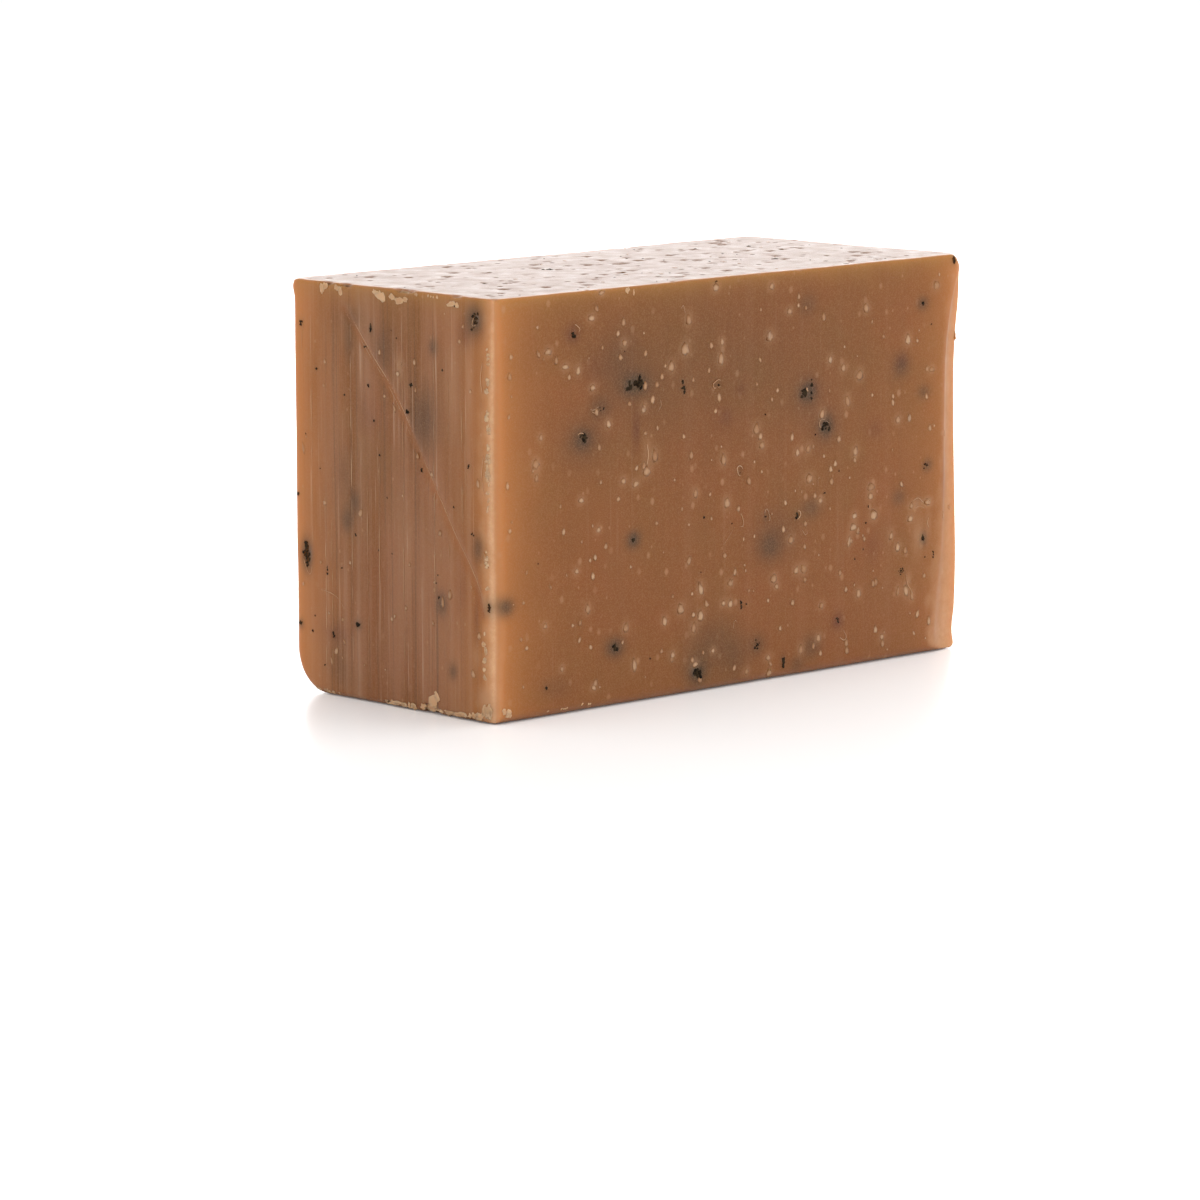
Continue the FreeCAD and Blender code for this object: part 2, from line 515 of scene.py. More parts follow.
    def poured(self, points: Array) -> Array:
        """Measures the distance to the sliced bar, before the knife, negative inside.

        The section is carried along X and meets the two ends in a round that narrows towards
        the top.

        Args:
            points: rows of three coordinates.

        Returns:
            The distances.
        """
        x, y, z = points.T
        flat = self.section(y, z)
        ends = np.maximum(x - self.right_end(y), -self.length / 2 - x)
        under_top = smoothstep(0.5, 3.0, self.height - z)
        radius = self.top_radius + (self.end_radius - self.top_radius) * under_top
        over = np.maximum(flat + radius, 0)
        beyond = np.maximum(ends + radius, 0)
        return np.hypot(over, beyond) + np.minimum(np.maximum(flat, ends) + radius, 0) - radius

    def distance(self, points: Array) -> Array:
        """Measures the distance to the pared and worn bar.

        The knife's cuts, and a plane across each top corner, are taken off by a smooth maximum.

        Args:
            points: rows of three coordinates.

        Returns:
            The distances, negative inside.
        """
        form = self.poured(points)
        for cut in (self.near_cut, self.far_cut):
            form = smooth_max(form, cut.distance(points, self)[0], cut.ease)
        x, y, z = points.T
        for end, side, wear in self.worn_corners:
            to_end = self.right_end(y) - x if end > 0 else x + self.length / 2
            gone = wear - to_end - (self.depth / 2 - side * y) - (self.height - z)
            form = smooth_max(form, gone / math.sqrt(3), self.corner_round)
        return form

    def slope(self, points: Array) -> Array:
        """Gives the outward direction at each point by central differences."""
        step = 0.02
        parts = []
        for axis in np.eye(3) * step:
            parts.append(self.distance(points + axis) - self.distance(points - axis))
        return unit(np.stack(parts, axis=1))

    def settle(self, points: Array, rounds: int = 6) -> Array:
        """Moves points onto the form, down the distance function's own slope.

        Args:
            points: rows of three coordinates.
            rounds: how many steps they take.

        Returns:
            The moved points.
        """
        for _ in range(rounds):
            points = points - self.slope(points) * self.distance(points)[:, None]
        return points

    def on_side(self, side: Side, across: Array, up: Array) -> Array:
        """Puts face coordinates on a side of the bar's box.

        Args:
            side: the face.
            across: along the bar on the long faces, the top and the foot, through it on the ends.
            up: the height, or on the top and the foot the place through the bar.

        Returns:
            Rows of three coordinates.
        """
        axis, sign = side.value
        across, up = np.asarray(across, float), np.asarray(up, float)
        if axis == 0:
            x = self.right_end(across) if sign > 0 else np.full(across.shape, -self.length / 2)
            return np.stack([x, across, up], axis=-1)
        if axis == 1:
            return np.stack([across, np.full(across.shape, sign * self.depth / 2), up], axis=-1)
        z = self.height if sign > 0 else 0.0
        return np.stack([across, up, np.full(across.shape, z)], axis=-1)

    def chips(self) -> list[Bites]:
        """Gives the chips along each edge, which open halfway between its two faces."""
        left, front, back, top = -self.length / 2, -self.depth / 2, self.depth / 2, self.height
        rows = (
            (self.left_top_chips, (left, front, top), (0, 1, 0), (-1, 0, 1)),
            (self.left_foot_chips, (left, front, 0.0), (0, 1, 0), (-1, 0, -1)),
            (self.front_top_chips, (left, front, top), (1, 0, 0), (0, -1, 1)),
            (self.back_top_chips, (left, back, top), (1, 0, 0), (0, 1, 1)),
        )
        groups = []
        for chips, start, run, outward in rows:
            along, lengths, depths = np.array(chips).T
            middles = np.array(start) + along[:, None] * np.array(run)
            groups.append(Bites.at(middles, np.array([outward], float), lengths, depths))
        return groups

    def pits(self) -> list[Bites]:
        """Gives the open bubbles on the left end and the front."""
        groups = []
        for side, pits in ((Side.LEFT, self.left_pits), (Side.FRONT, self.front_pits)):
            across, up, mouths, depths = np.array(pits).T
            groups.append(Bites.at(self.on_side(side, across, up), side.outward(), 2 * mouths, depths))
        return groups

    def craters(self) -> list[Bites]:
        """Gives the top's burst bubbles.

        The large ones step along the bar by the golden ratio and evenly across it, and the
        small ones are strewn at random.

        Returns:
            The large ones and the small ones.
        """
        number = np.arange(self.crater_count)
        golden = (1 + math.sqrt(5)) / 2
        margin = self.crater_margin
        x = -self.length / 2 + margin + number * golden % 1 * (self.length - self.skew - 2 * margin)
        y = -self.depth / 2 + margin + (number + 0.5) / self.crater_count * (self.depth - 2 * margin)
        large = np.array(self.crater_radii)[number % len(self.crater_radii)]
        rng = np.random.default_rng(self.crater_seed)
        small = rng.uniform(*self.small_crater_radii, self.small_craters)
        places = strew(self, Side.TOP, self.small_craters, margin, rng)
        outward = Side.TOP.outward()
        return [
            Bites.at(self.on_side(Side.TOP, x, y), outward, 2 * large, large * self.crater_depth_ratio),
            Bites.at(places, outward, 2 * small, small * self.small_crater_depth_ratio),
        ]

    def bites(self) -> Bites:
        """Gathers the chips, the open bubbles and the craters."""
        groups = [*self.chips(), *self.pits(), *self.craters()]
        return Bites(np.concatenate([g.centres for g in groups]), np.concatenate([g.radii for g in groups]))

    def scratch(self) -> Array:
        """Gives the scratch as evenly spaced points on the left end's box side."""
        path = np.array(self.scratch_path)
        run = walked(path)
        even = np.arange(0, run[-1], self.scratch_step)
        across, up = hermite(run, path, even).T
        return self.on_side(Side.LEFT, across, up)

    def relief(self, points: Array, normals: Array) -> Array:
        """Works out how far the real surface lies inside the plain form.

        It is the deepest of the bites, plus the scratch, a slow unevenness from the hand and
        the wire's lines across the two ends.

        Args:
            points: places on the plain form.
            normals: their outward directions.

        Returns:
            The depths, never below 0.
        """
        size = 1 + self.ragged * waves(points, self.ragged_length, seed=5)
        bites = self.bites().depth(points, normals, size)
        _, y, z = points.T
        lines = waves(np.stack([y, y, z * self.line_stretch], axis=1), self.line_pitch, seed=11)
        hand = sum(waves(points, length, seed) * height for length, height, seed in self.hand_waves)
        depth = self.skim + hand + self.line_depth * on_ends(normals) * (1 + lines)
        return np.maximum(depth + self.scratch_depth * self.groove(points), self.least_depth) + bites

    def groove(self, points: Array) -> Array:
        """Measures the scratch's hollow, 1 along its middle and 0 outside it, as 1 - t^2."""
        near = points[:, 0] < -self.length / 2 + 1
        gaps = points[near][:, None, 1:] - self.scratch()[None, :, 1:]
        hollow = np.zeros(len(points))
        nearest = np.linalg.norm(gaps, axis=2).min(axis=1)
        hollow[near] = np.clip(1 - (nearest / self.scratch_half_width) ** 2, 0, 1)
        return hollow

    def insets(self, points: Array) -> tuple[Array, Array]:
        """Measures how far points lie inside the nearer end and the nearer long face."""
        x, y, _ = points.T
        return np.minimum(x + self.length / 2, self.right_end(y) - x), self.depth / 2 - np.abs(y)

    def glow(self, points: Array, normals: Array) -> Array:
        """Measures the light that comes through the soap near its upright edges.

        It falls off as e^(-d / reach) with the distance d from the edge, and is stronger at the
        back of the bar. A little more comes through at the top of both ends.

        Args:
            points: places on the bar.
            normals: their outward directions.

        Returns:
            The share of that light at each point.
        """
        _, y, z = points.T
        swing = 1 + self.glow_swing * waves(points, self.glow_length, seed=9)
        from_edge = np.maximum(*self.insets(points)) * swing
        near = np.exp(-np.maximum(from_edge, 0) / self.glow_reach) * on_uprights(normals)
        near = near * (1 + (self.back_glow - 1) * smoothstep(0, self.back_from, y))
        under_top = self.top_glow * np.exp(-(self.height - z) / self.top_glow_reach)
        return near + under_top * on_ends(normals)

    def seat(self, points: Array, rounds: int = 4) -> tuple[Array, Array]:
        """Lays points on the finished surface and gives each a frame there.

        Args:
            points: places near the surface.
            rounds: how many steps they take towards it.

        Returns:
            The places, and for each the rows right, up and out.
        """
        points = self.settle(points, rounds)
        out = self.slope(points)
        points = points - out * self.relief(points, out)[:, None]
        flat = np.abs(out[:, 2:]) > 0.8
        guide = np.where(flat, [[0.0, 1.0, 0.0]], [[0.0, 0.0, 1.0]])
        up = unit(guide - out * (guide * out).sum(axis=1, keepdims=True))
        return points, np.stack([np.cross(up, out), up, out], axis=1)


# What is set in the soap


@dataclass(frozen=True)
class Blots:
    """Soft spots that show through the surface: side, across, up, half width, half height, strength."""

    rows: tuple

    def strength(self, points: Array, form: Form) -> Array:
        """Adds the spots, each a bell of the distance over its half sizes, without passing 1.

        Args:
            points: rows of three coordinates.
            form: the bar that the spots are in.

        Returns:
            The strength at each point, from 0 to 1.
        """
        clear = np.ones(len(points))
        for side, across, up, half_width, half_height, strength in self.rows:
            offset = points - form.on_side(side, np.array([across]), np.array([up]))
            flat = np.hypot(offset[:, 0], offset[:, 1]) / half_width
            clear *= 1 - strength * np.exp(-(flat ** 2) - (offset[:, 2] / half_height) ** 2)
        return 1 - clear


GREY_CLOUDS = Blots(
    (
        *on(
            Side.LEFT,
            (-6.3, 38.6, 2.4, 4.2, 0.5), (-16.1, 52.5, 1.7, 2.0, 0.8), (-8.1, 48.4, 0.8, 1.1, 0.5),
            (9.1, 24.0, 1.3, 1.6, 0.5), (7.6, 26.6, 1.0, 1.6, 0.5), (9.5, 30.0, 2.4, 4.0, 0.2),
            (-9.4, 14.9, 1.1, 1.6, 0.6), (-16.6, 22.9, 1.1, 1.8, 0.55), (-18.9, 15.4, 1.1, 1.2, 0.9),
            (-11.6, 6.2, 0.8, 1.1, 0.5), (8.1, 51.0, 2.4, 1.6, 0.25), (8.5, 47.6, 1.0, 2.4, 0.3),
            (1.8, 47.5, 2.4, 3.0, 0.3), (17.5, 18.5, 1.1, 1.9, 0.85), (11.0, 4.2, 2.2, 3.0, 0.2),
            (18.9, 9.0, 0.6, 0.6, 0.5),
        ),
        *on(
            Side.FRONT,
            (-19.1, 42.5, 2.5, 1.6, 0.8), (-22.0, 46.0, 4.5, 4.0, 0.3), (-28.4, 36.0, 1.9, 1.5, 0.65),
            (-28.6, 35.4, 4.5, 3.2, 0.22), (-25.2, 39.9, 2.0, 1.6, 0.4), (6.2, 18.4, 2.0, 1.8, 0.55),
            (7.5, 20.0, 4.5, 3.6, 0.25), (14.2, 22.8, 1.8, 1.3, 0.4), (13.4, 50.6, 1.6, 1.4, 0.3),
            (36.0, 49.1, 1.1, 0.9, 0.5), (36.4, 36.8, 1.2, 0.9, 0.4), (31.7, 40.6, 1.7, 1.5, 0.35),
            (31.4, 22.6, 1.3, 1.1, 0.35), (-7.6, 2.9, 1.4, 1.3, 0.88), (-5.0, 6.4, 4.2, 3.4, 0.3),
            (-0.5, 4.0, 3.0, 3.4, 0.3), (14.3, 3.7, 1.8, 1.6, 0.4), (11.5, 1.6, 1.3, 1.0, 0.35),
            (-19.3, 21.9, 1.2, 1.1, 0.8), (-22.7, 7.9, 1.6, 1.3, 0.75), (-33.4, 3.6, 3.0, 1.8, 0.2),
            (17.0, 33.8, 1.3, 1.4, 0.88), (13.4, 38.7, 1.5, 1.3, 0.85), (36.4, 16.3, 0.9, 1.0, 0.5),
            (37.2, 26.5, 0.9, 0.8, 0.45), (3.8, 5.2, 1.6, 1.4, 0.35), (-42.4, 15.4, 1.5, 1.2, 0.9),
            (-2.0, 44.0, 24.0, 12.0, 0.2), (-17.0, 41.0, 6.0, 5.0, 0.12), (13.4, 38.0, 3.2, 3.0, 0.22),
            (16.8, 33.6, 3.0, 2.8, 0.22), (-7.6, 3.2, 3.0, 3.0, 0.25),
        ),
        *on(
            Side.BACK,
            (-27.0, 38.0, 2.2, 1.7, 0.6), (14.0, 14.0, 3.6, 3.0, 0.3), (3.0, 44.0, 1.6, 1.4, 0.5),
            (29.0, 29.0, 1.8, 1.5, 0.6), (-12.0, 17.0, 1.5, 1.3, 0.5), (36.0, 47.0, 3.2, 2.4, 0.25),
        ),
        *on(
            Side.RIGHT,
            (6.0, 40.0, 2.0, 3.4, 0.4), (-8.0, 22.0, 1.4, 1.6, 0.6), (12.0, 12.0, 1.3, 1.8, 0.5),
        ),
        *on(
            Side.FOOT,
            (20.0, 4.0, 2.0, 2.0, 0.4), (-22.0, -6.0, 2.6, 2.0, 0.4),
        ),
    )
)

BROWN_SPOTS = Blots(
    (
        *on(
            Side.FRONT,
            (-30.2, 50.0, 1.5, 1.4, 0.6), (-18.8, 36.4, 0.55, 2.4, 0.75), (-2.2, 36.6, 1.4, 1.3, 0.45),
            (31.9, 41.4, 1.3, 1.3, 0.65), (14.3, 39.2, 1.2, 1.0, 0.5), (19.4, 6.6, 1.2, 1.1, 0.75),
            (-26.6, 45.2, 2.2, 2.0, 0.25), (26.6, 32.4, 1.6, 1.4, 0.35), (26.2, 16.2, 1.4, 2.2, 0.3),
            (40.9, 24.0, 0.6, 4.0, 0.5), (0.7, 40.2, 1.0, 1.0, 0.4),
        ),
        *on(
            Side.LEFT,
            (5.0, 38.5, 2.0, 3.0, 0.25), (-14.2, 50.4, 1.6, 1.8, 0.4), (-16.2, 14.0, 0.7, 3.4, 0.4),
            (-13.4, 17.0, 1.4, 3.0, 0.25), (11.2, 8.6, 2.4, 1.5, 0.35),
        ),
        *on(
            Side.BACK,
            (22.0, 42.0, 1.4, 1.3, 0.6), (-33.0, 16.0, 1.3, 1.3, 0.6), (-5.0, 30.0, 1.8, 1.5, 0.35),
        ),
        *on(
            Side.RIGHT,
            (2.0, 15.0, 1.4, 1.8, 0.4),
        ),
    )
)

PALE_SMEARS = Blots(
    (
        *on(
            Side.FRONT,
            (35.4, 16.8, 1.1, 2.6, 0.42), (36.2, 21.2, 2.0, 0.6, 0.4), (37.5, 18.0, 0.5, 2.4, 0.3),
            (33.6, 10.8, 0.6, 1.2, 0.4), (-16.7, 33.5, 0.8, 2.2, 0.3), (-36.7, 32.6, 0.7, 1.5, 0.3),
        ),
        *on(
            Side.LEFT,
            (-1.6, 45.4, 0.6, 1.7, 0.5), (-11.4, 43.0, 0.9, 5.0, 0.25), (-15.0, 45.0, 0.8, 4.0, 0.2),
            (-2.6, 20.0, 1.0, 7.0, 0.2), (-16.0, 8.6, 0.7, 1.8, 0.35), (-17.4, 3.4, 1.2, 1.6, 0.5),
            (-18.9, 2.0, 1.2, 2.0, 0.45),
        ),
    )
)


def write_bits(
    name: str, form: Form, points: Array, faces: list[Array], layers: dict[str, Array]
) -> bpy.types.Object:
    """Makes a piece of small bits, kept inside the modelled block, with the glow round each.

    Args:
        name: the piece's name.
        form: the bar that they are set in.
        points: rows of three coordinates.
        faces: arrays of vertex numbers.
        layers: one value a point for each named attribute.

    Returns:
        The piece, whose attribute glow is the light in the soap where each point lies.
    """
    points = np.clip(points, *cad_box())
    return write_mesh(name, points, faces, {**layers, "glow": form.glow(points, form.slope(points))})


@dataclass(frozen=True)
class Strewing:
    """Many small lumps on the surface: places on the bar and half sizes across, up and out."""

    places: Array
    halves: Array
    uneven: float
    seed: int
    turn: float = 0.25
    sink: float = 0.35
    taper: float = 0.3
    sides: int = 8
    rings: int = 5

    def build(self, name: str, form: Form) -> bpy.types.Object:
        """Makes all the lumps as one piece.

        Each is the same drop with every point pushed in or out by its own random share, turned
        a little in the surface and sunk so that only its outer part stands clear.

        Args:
            name: the piece's name.
            form: the bar that they lie on.

        Returns:
            The piece, with one random shade from 0 to 1 a lump, and middle, which runs from 0
            where a lump meets the surface to 1 where it stands out farthest.
        """
        rng = np.random.default_rng(self.seed)
        count = len(self.places)
        drop, faces = lump(self.sides, self.rings, self.taper)
        push = 1 + self.uneven * rng.uniform(-1, 1, (count, len(drop), 1))
        shape = drop[None] * push * self.halves[:, None, :]
        angle = rng.normal(0, self.turn, count)
        cos, sin = np.cos(angle)[:, None], np.sin(angle)[:, None]
        right = shape[..., 0] * cos - shape[..., 1] * sin
        up = shape[..., 0] * sin + shape[..., 1] * cos
        out = shape[..., 2] - self.sink * self.halves[:, 2:]
        seats, frames = form.seat(self.places)
        points = seats[:, None] + np.einsum("nvk,nkc->nvc", np.stack([right, up, out], axis=-1), frames)
        step = np.arange(count)[:, None, None] * len(drop)
        tiled = [(f[None] + step).reshape(-1, f.shape[1]) for f in faces]
        shade = np.repeat(rng.uniform(0, 1, count), len(drop))
        middle = np.tile(np.clip((drop[:, 2] - self.sink) / (1 - self.sink), 0, 1), count)
        return write_bits(name, form, points.reshape(-1, 3), tiled, {"shade": shade, "middle": middle})


def strew(form: Form, side: Side, count: int, margin: float, rng: np.random.Generator) -> Array:
    """Scatters places over a side at random.

    Args:
        form: the bar.
        side: the face.
        count: how many.
        margin: how far they keep from its edges.
        rng: the random source.

    Returns:
        Rows of three coordinates.
    """
    axis = side.value[0]
    half_x, half_y = form.length / 2 - margin, form.depth / 2 - margin
    half_across = half_y if axis == 0 else half_x
    across = rng.uniform(-half_across, half_across, count)
    if axis == 2:
        up = rng.uniform(-half_y, half_y, count)
    else:
        up = rng.uniform(margin, form.height - margin, count)
    return form.on_side(side, across, up)


def strew_all(form: Form, counts: tuple, margin: float, rng: np.random.Generator) -> Array:
    """Scatters places over each side in turn, as many as counts gives for it."""
    return np.concatenate([strew(form, side, count, margin, rng) for side, count in counts])


# A bit's size over its mark's, lowest and highest, and its share of that across, up and out
BIT_SIZES = (0.55, 1.35)
BIT_SHAPE = (1.0, 1.25, 0.35)


def clusters(form: Form, rows: tuple, seed: int) -> tuple[Array, Array]:
    """Breaks marks into bits that lie close together.

    Args:
        form: the bar.
        rows: side, across, up, spread across, spread up, half size of a bit and how many bits.
        seed: chooses where the bits fall.

    Returns:
        The bits' places, and their half sizes across, up and out.
    """
    rng = np.random.default_rng(seed)
    places, halves = [], []
    for side, across, up, wide, high, half, bits in rows:
        off = rng.normal(0, 0.5, (bits, 2)) if bits > 1 else np.zeros((1, 2))
        places.append(form.on_side(side, across + off[:, 0] * wide, up + off[:, 1] * high))
        halves.append(half * rng.uniform(*BIT_SIZES, (bits, 3)) * BIT_SHAPE)
    return np.concatenate(places), np.concatenate(halves)


@dataclass(frozen=True)
class HerbFlecks:
    """The dark herb flecks that lie open on the surface."""

    seed: int = 21
    # Side, across, up, spread across, spread up, half size of a bit, bits
    marks: tuple = (
        *on(
            Side.LEFT,
            (18.2, 49.5, 0.2, 0.3, 0.26, 2), (4.1, 49.8, 0.1, 0.5, 0.3, 3),
            (5.4, 47.4, 0.2, 0.1, 0.22, 2), (15.1, 43.7, 0.0, 0.0, 0.22, 1),
            (4.6, 42.3, 0.2, 0.2, 0.2, 1), (-3.7, 43.1, 0.2, 0.2, 0.26, 2),
            (-12.3, 54.1, 0.2, 0.2, 0.2, 1), (-3.0, 39.5, 0.2, 0.1, 0.27, 2),
            (3.7, 37.7, 0.2, 0.2, 0.22, 1), (2.6, 33.3, 0.2, 0.2, 0.2, 1), (14.5, 30.5, 0.1, 0.2, 0.2, 1),
            (-5.7, 32.1, 0.2, 0.2, 0.22, 2), (-14.8, 33.4, 0.2, 0.2, 0.22, 2),
            (19.3, 26.6, 0.2, 0.3, 0.26, 2), (17.4, 34.8, 0.1, 0.1, 0.14, 1),
            (7.5, 22.3, 0.1, 0.3, 0.2, 1), (13.3, 16.8, 0.1, 0.9, 0.2, 3),
            (10.4, 17.5, 0.1, 0.1, 0.16, 1), (7.1, 10.2, 0.3, 0.3, 0.36, 3),
            (12.1, 8.3, 0.2, 0.5, 0.26, 3), (18.9, 9.0, 0.2, 0.3, 0.3, 2), (16.5, 8.3, 0.1, 0.1, 0.18, 1),
            (15.9, 10.4, 0.1, 0.1, 0.16, 1), (13.9, 4.0, 0.1, 0.1, 0.18, 1),
            (-8.4, 17.5, 0.1, 0.1, 0.16, 1), (0.2, 20.4, 0.1, 0.1, 0.15, 1),
            (2.9, 20.6, 0.1, 0.1, 0.15, 1), (-11.9, 27.9, 0.1, 0.1, 0.16, 1),
            (-15.5, 24.6, 0.2, 0.2, 0.2, 1), (-16.1, 52.6, 0.7, 1.1, 0.28, 8),
            (17.5, 18.5, 0.5, 1.7, 0.4, 12),
        ),
        *on(
            Side.FRONT,
            (-30.0, 49.9, 0.3, 0.6, 0.26, 4), (-20.0, 42.1, 0.6, 0.5, 0.32, 6),
            (-18.3, 42.5, 0.8, 0.5, 0.37, 8), (-28.3, 36.1, 0.5, 0.5, 0.34, 5),
            (-25.0, 39.6, 0.5, 0.5, 0.14, 3), (-10.1, 41.4, 0.3, 0.9, 0.25, 5),
            (-3.5, 41.0, 0.2, 0.2, 0.24, 2), (12.8, 38.6, 0.5, 0.5, 0.32, 8),
            (17.0, 33.8, 0.8, 0.9, 0.32, 8), (14.2, 39.0, 0.1, 1.5, 0.24, 5),
            (37.8, 46.1, 0.1, 0.1, 0.16, 1), (42.3, 54.7, 0.1, 0.4, 0.34, 3),
            (36.0, 49.1, 0.3, 0.2, 0.24, 2), (37.0, 26.6, 0.5, 0.4, 0.22, 3),
            (0.7, 29.1, 0.3, 0.3, 0.2, 2), (-36.5, 20.5, 0.1, 0.1, 0.14, 1),
            (-19.3, 21.9, 0.3, 0.2, 0.3, 3), (-22.7, 7.9, 0.4, 0.3, 0.32, 4),
            (-7.5, 2.6, 0.6, 0.7, 0.42, 7), (5.6, 22.4, 0.1, 0.4, 0.3, 3),
            (11.4, 22.0, 0.3, 0.4, 0.24, 3), (16.8, 24.6, 0.1, 0.1, 0.18, 1),
            (-1.0, 22.2, 0.1, 0.1, 0.15, 1), (19.6, 27.4, 0.1, 0.1, 0.13, 1),
            (25.4, 21.9, 0.1, 0.1, 0.17, 1), (36.4, 16.3, 0.1, 0.5, 0.32, 3),
            (32.0, 12.2, 0.6, 0.5, 0.14, 6), (38.5, 14.0, 0.2, 0.6, 0.16, 3),
            (19.4, 6.7, 0.2, 0.4, 0.2, 3), (22.7, 14.9, 0.1, 0.1, 0.15, 1), (3.8, 5.1, 0.4, 0.7, 0.24, 4),
            (8.9, 2.3, 0.2, 0.7, 0.3, 4), (0.8, 10.9, 0.2, 0.4, 0.22, 3), (-35.1, 4.0, 0.2, 0.3, 0.22, 2),
            (-6.2, 23.5, 0.1, 0.1, 0.18, 1), (-20.9, 46.9, 0.1, 0.1, 0.12, 1),
            (-4.0, 54.9, 0.2, 0.1, 0.16, 1),
        ),
        *on(
            Side.BACK,
            (-27.0, 38.0, 0.8, 0.6, 0.36, 7), (3.0, 44.0, 0.5, 0.5, 0.3, 4),
            (29.0, 29.0, 0.6, 0.6, 0.34, 6), (-12.0, 17.0, 0.4, 0.5, 0.3, 4),
            (22.0, 42.0, 0.2, 0.5, 0.22, 3), (-33.0, 16.0, 0.2, 0.4, 0.2, 3),
        ),
        *on(
            Side.RIGHT,
            (-8.0, 22.0, 0.5, 0.6, 0.32, 5), (12.0, 12.0, 0.3, 0.7, 0.24, 4),
        ),
        *on(
            Side.TOP,
            (-12.0, 4.0, 0.6, 0.6, 0.3, 4), (20.0, -7.0, 0.5, 0.5, 0.26, 4),
            (31.0, 9.0, 0.3, 0.3, 0.26, 3), (-31.0, -4.0, 0.3, 0.3, 0.24, 2),
        ),
        *on(
            Side.LEFT,
            (-18.5, 15.3, 0.1, 0.5, 0.22, 4),
        ),
    )
    stray_counts: tuple = (
        (Side.BACK, 34),
        (Side.RIGHT, 18),
        (Side.TOP, 26),
        (Side.FOOT, 18),
        (Side.FRONT, 8),
        (Side.LEFT, 8),
    )
    stray_margin: float = 1.5
    stray_half: float = 0.13
    stray_sizes: tuple[float, float] = (0.6, 1.5)
    stray_shape: tuple[float, float, float] = (1.0, 1.2, 0.4)
    # Each mark is made of smaller and more bits than its row says
    bit_size: float = 0.7
    more_bits: int = 2
    # The spot round a mark is at its fullest from this half size of a bit
    full_half: float = 0.36
    halo_margin: float = 0.4
    halo_strength: float = 0.45

    def halos(self) -> Blots:
        """Gives each mark the soft dark spot that shows round it through the soap."""
        margin = self.halo_margin
        rows = []
        for side, across, up, wide, high, half, _ in self.marks:
            strength = self.halo_strength * min(half / self.full_half, 1) ** 3
            rows.append((side, across, up, wide + margin, high + margin, strength))
        return Blots(tuple(rows))

    def build(self, form: Form) -> bpy.types.Object:
        """Makes the marks' bits and the strays on every face."""
        rng = np.random.default_rng(self.seed)
        finer = tuple((*mark[:5], mark[5] * self.bit_size, mark[6] * self.more_bits) for mark in self.marks)
        places, halves = clusters(form, finer, self.seed)
        strays = strew_all(form, self.stray_counts, self.stray_margin, rng)
        small = self.stray_half * rng.uniform(*self.stray_sizes, (len(strays), 3)) * self.stray_shape
        return Strewing(
            np.concatenate([places, strays]),
            np.concatenate([halves, small]),
            uneven=0.35,
            seed=self.seed,
            turn=1.2,
            sink=0.2,
            taper=0.0,
        ).build("herb_flecks", form)


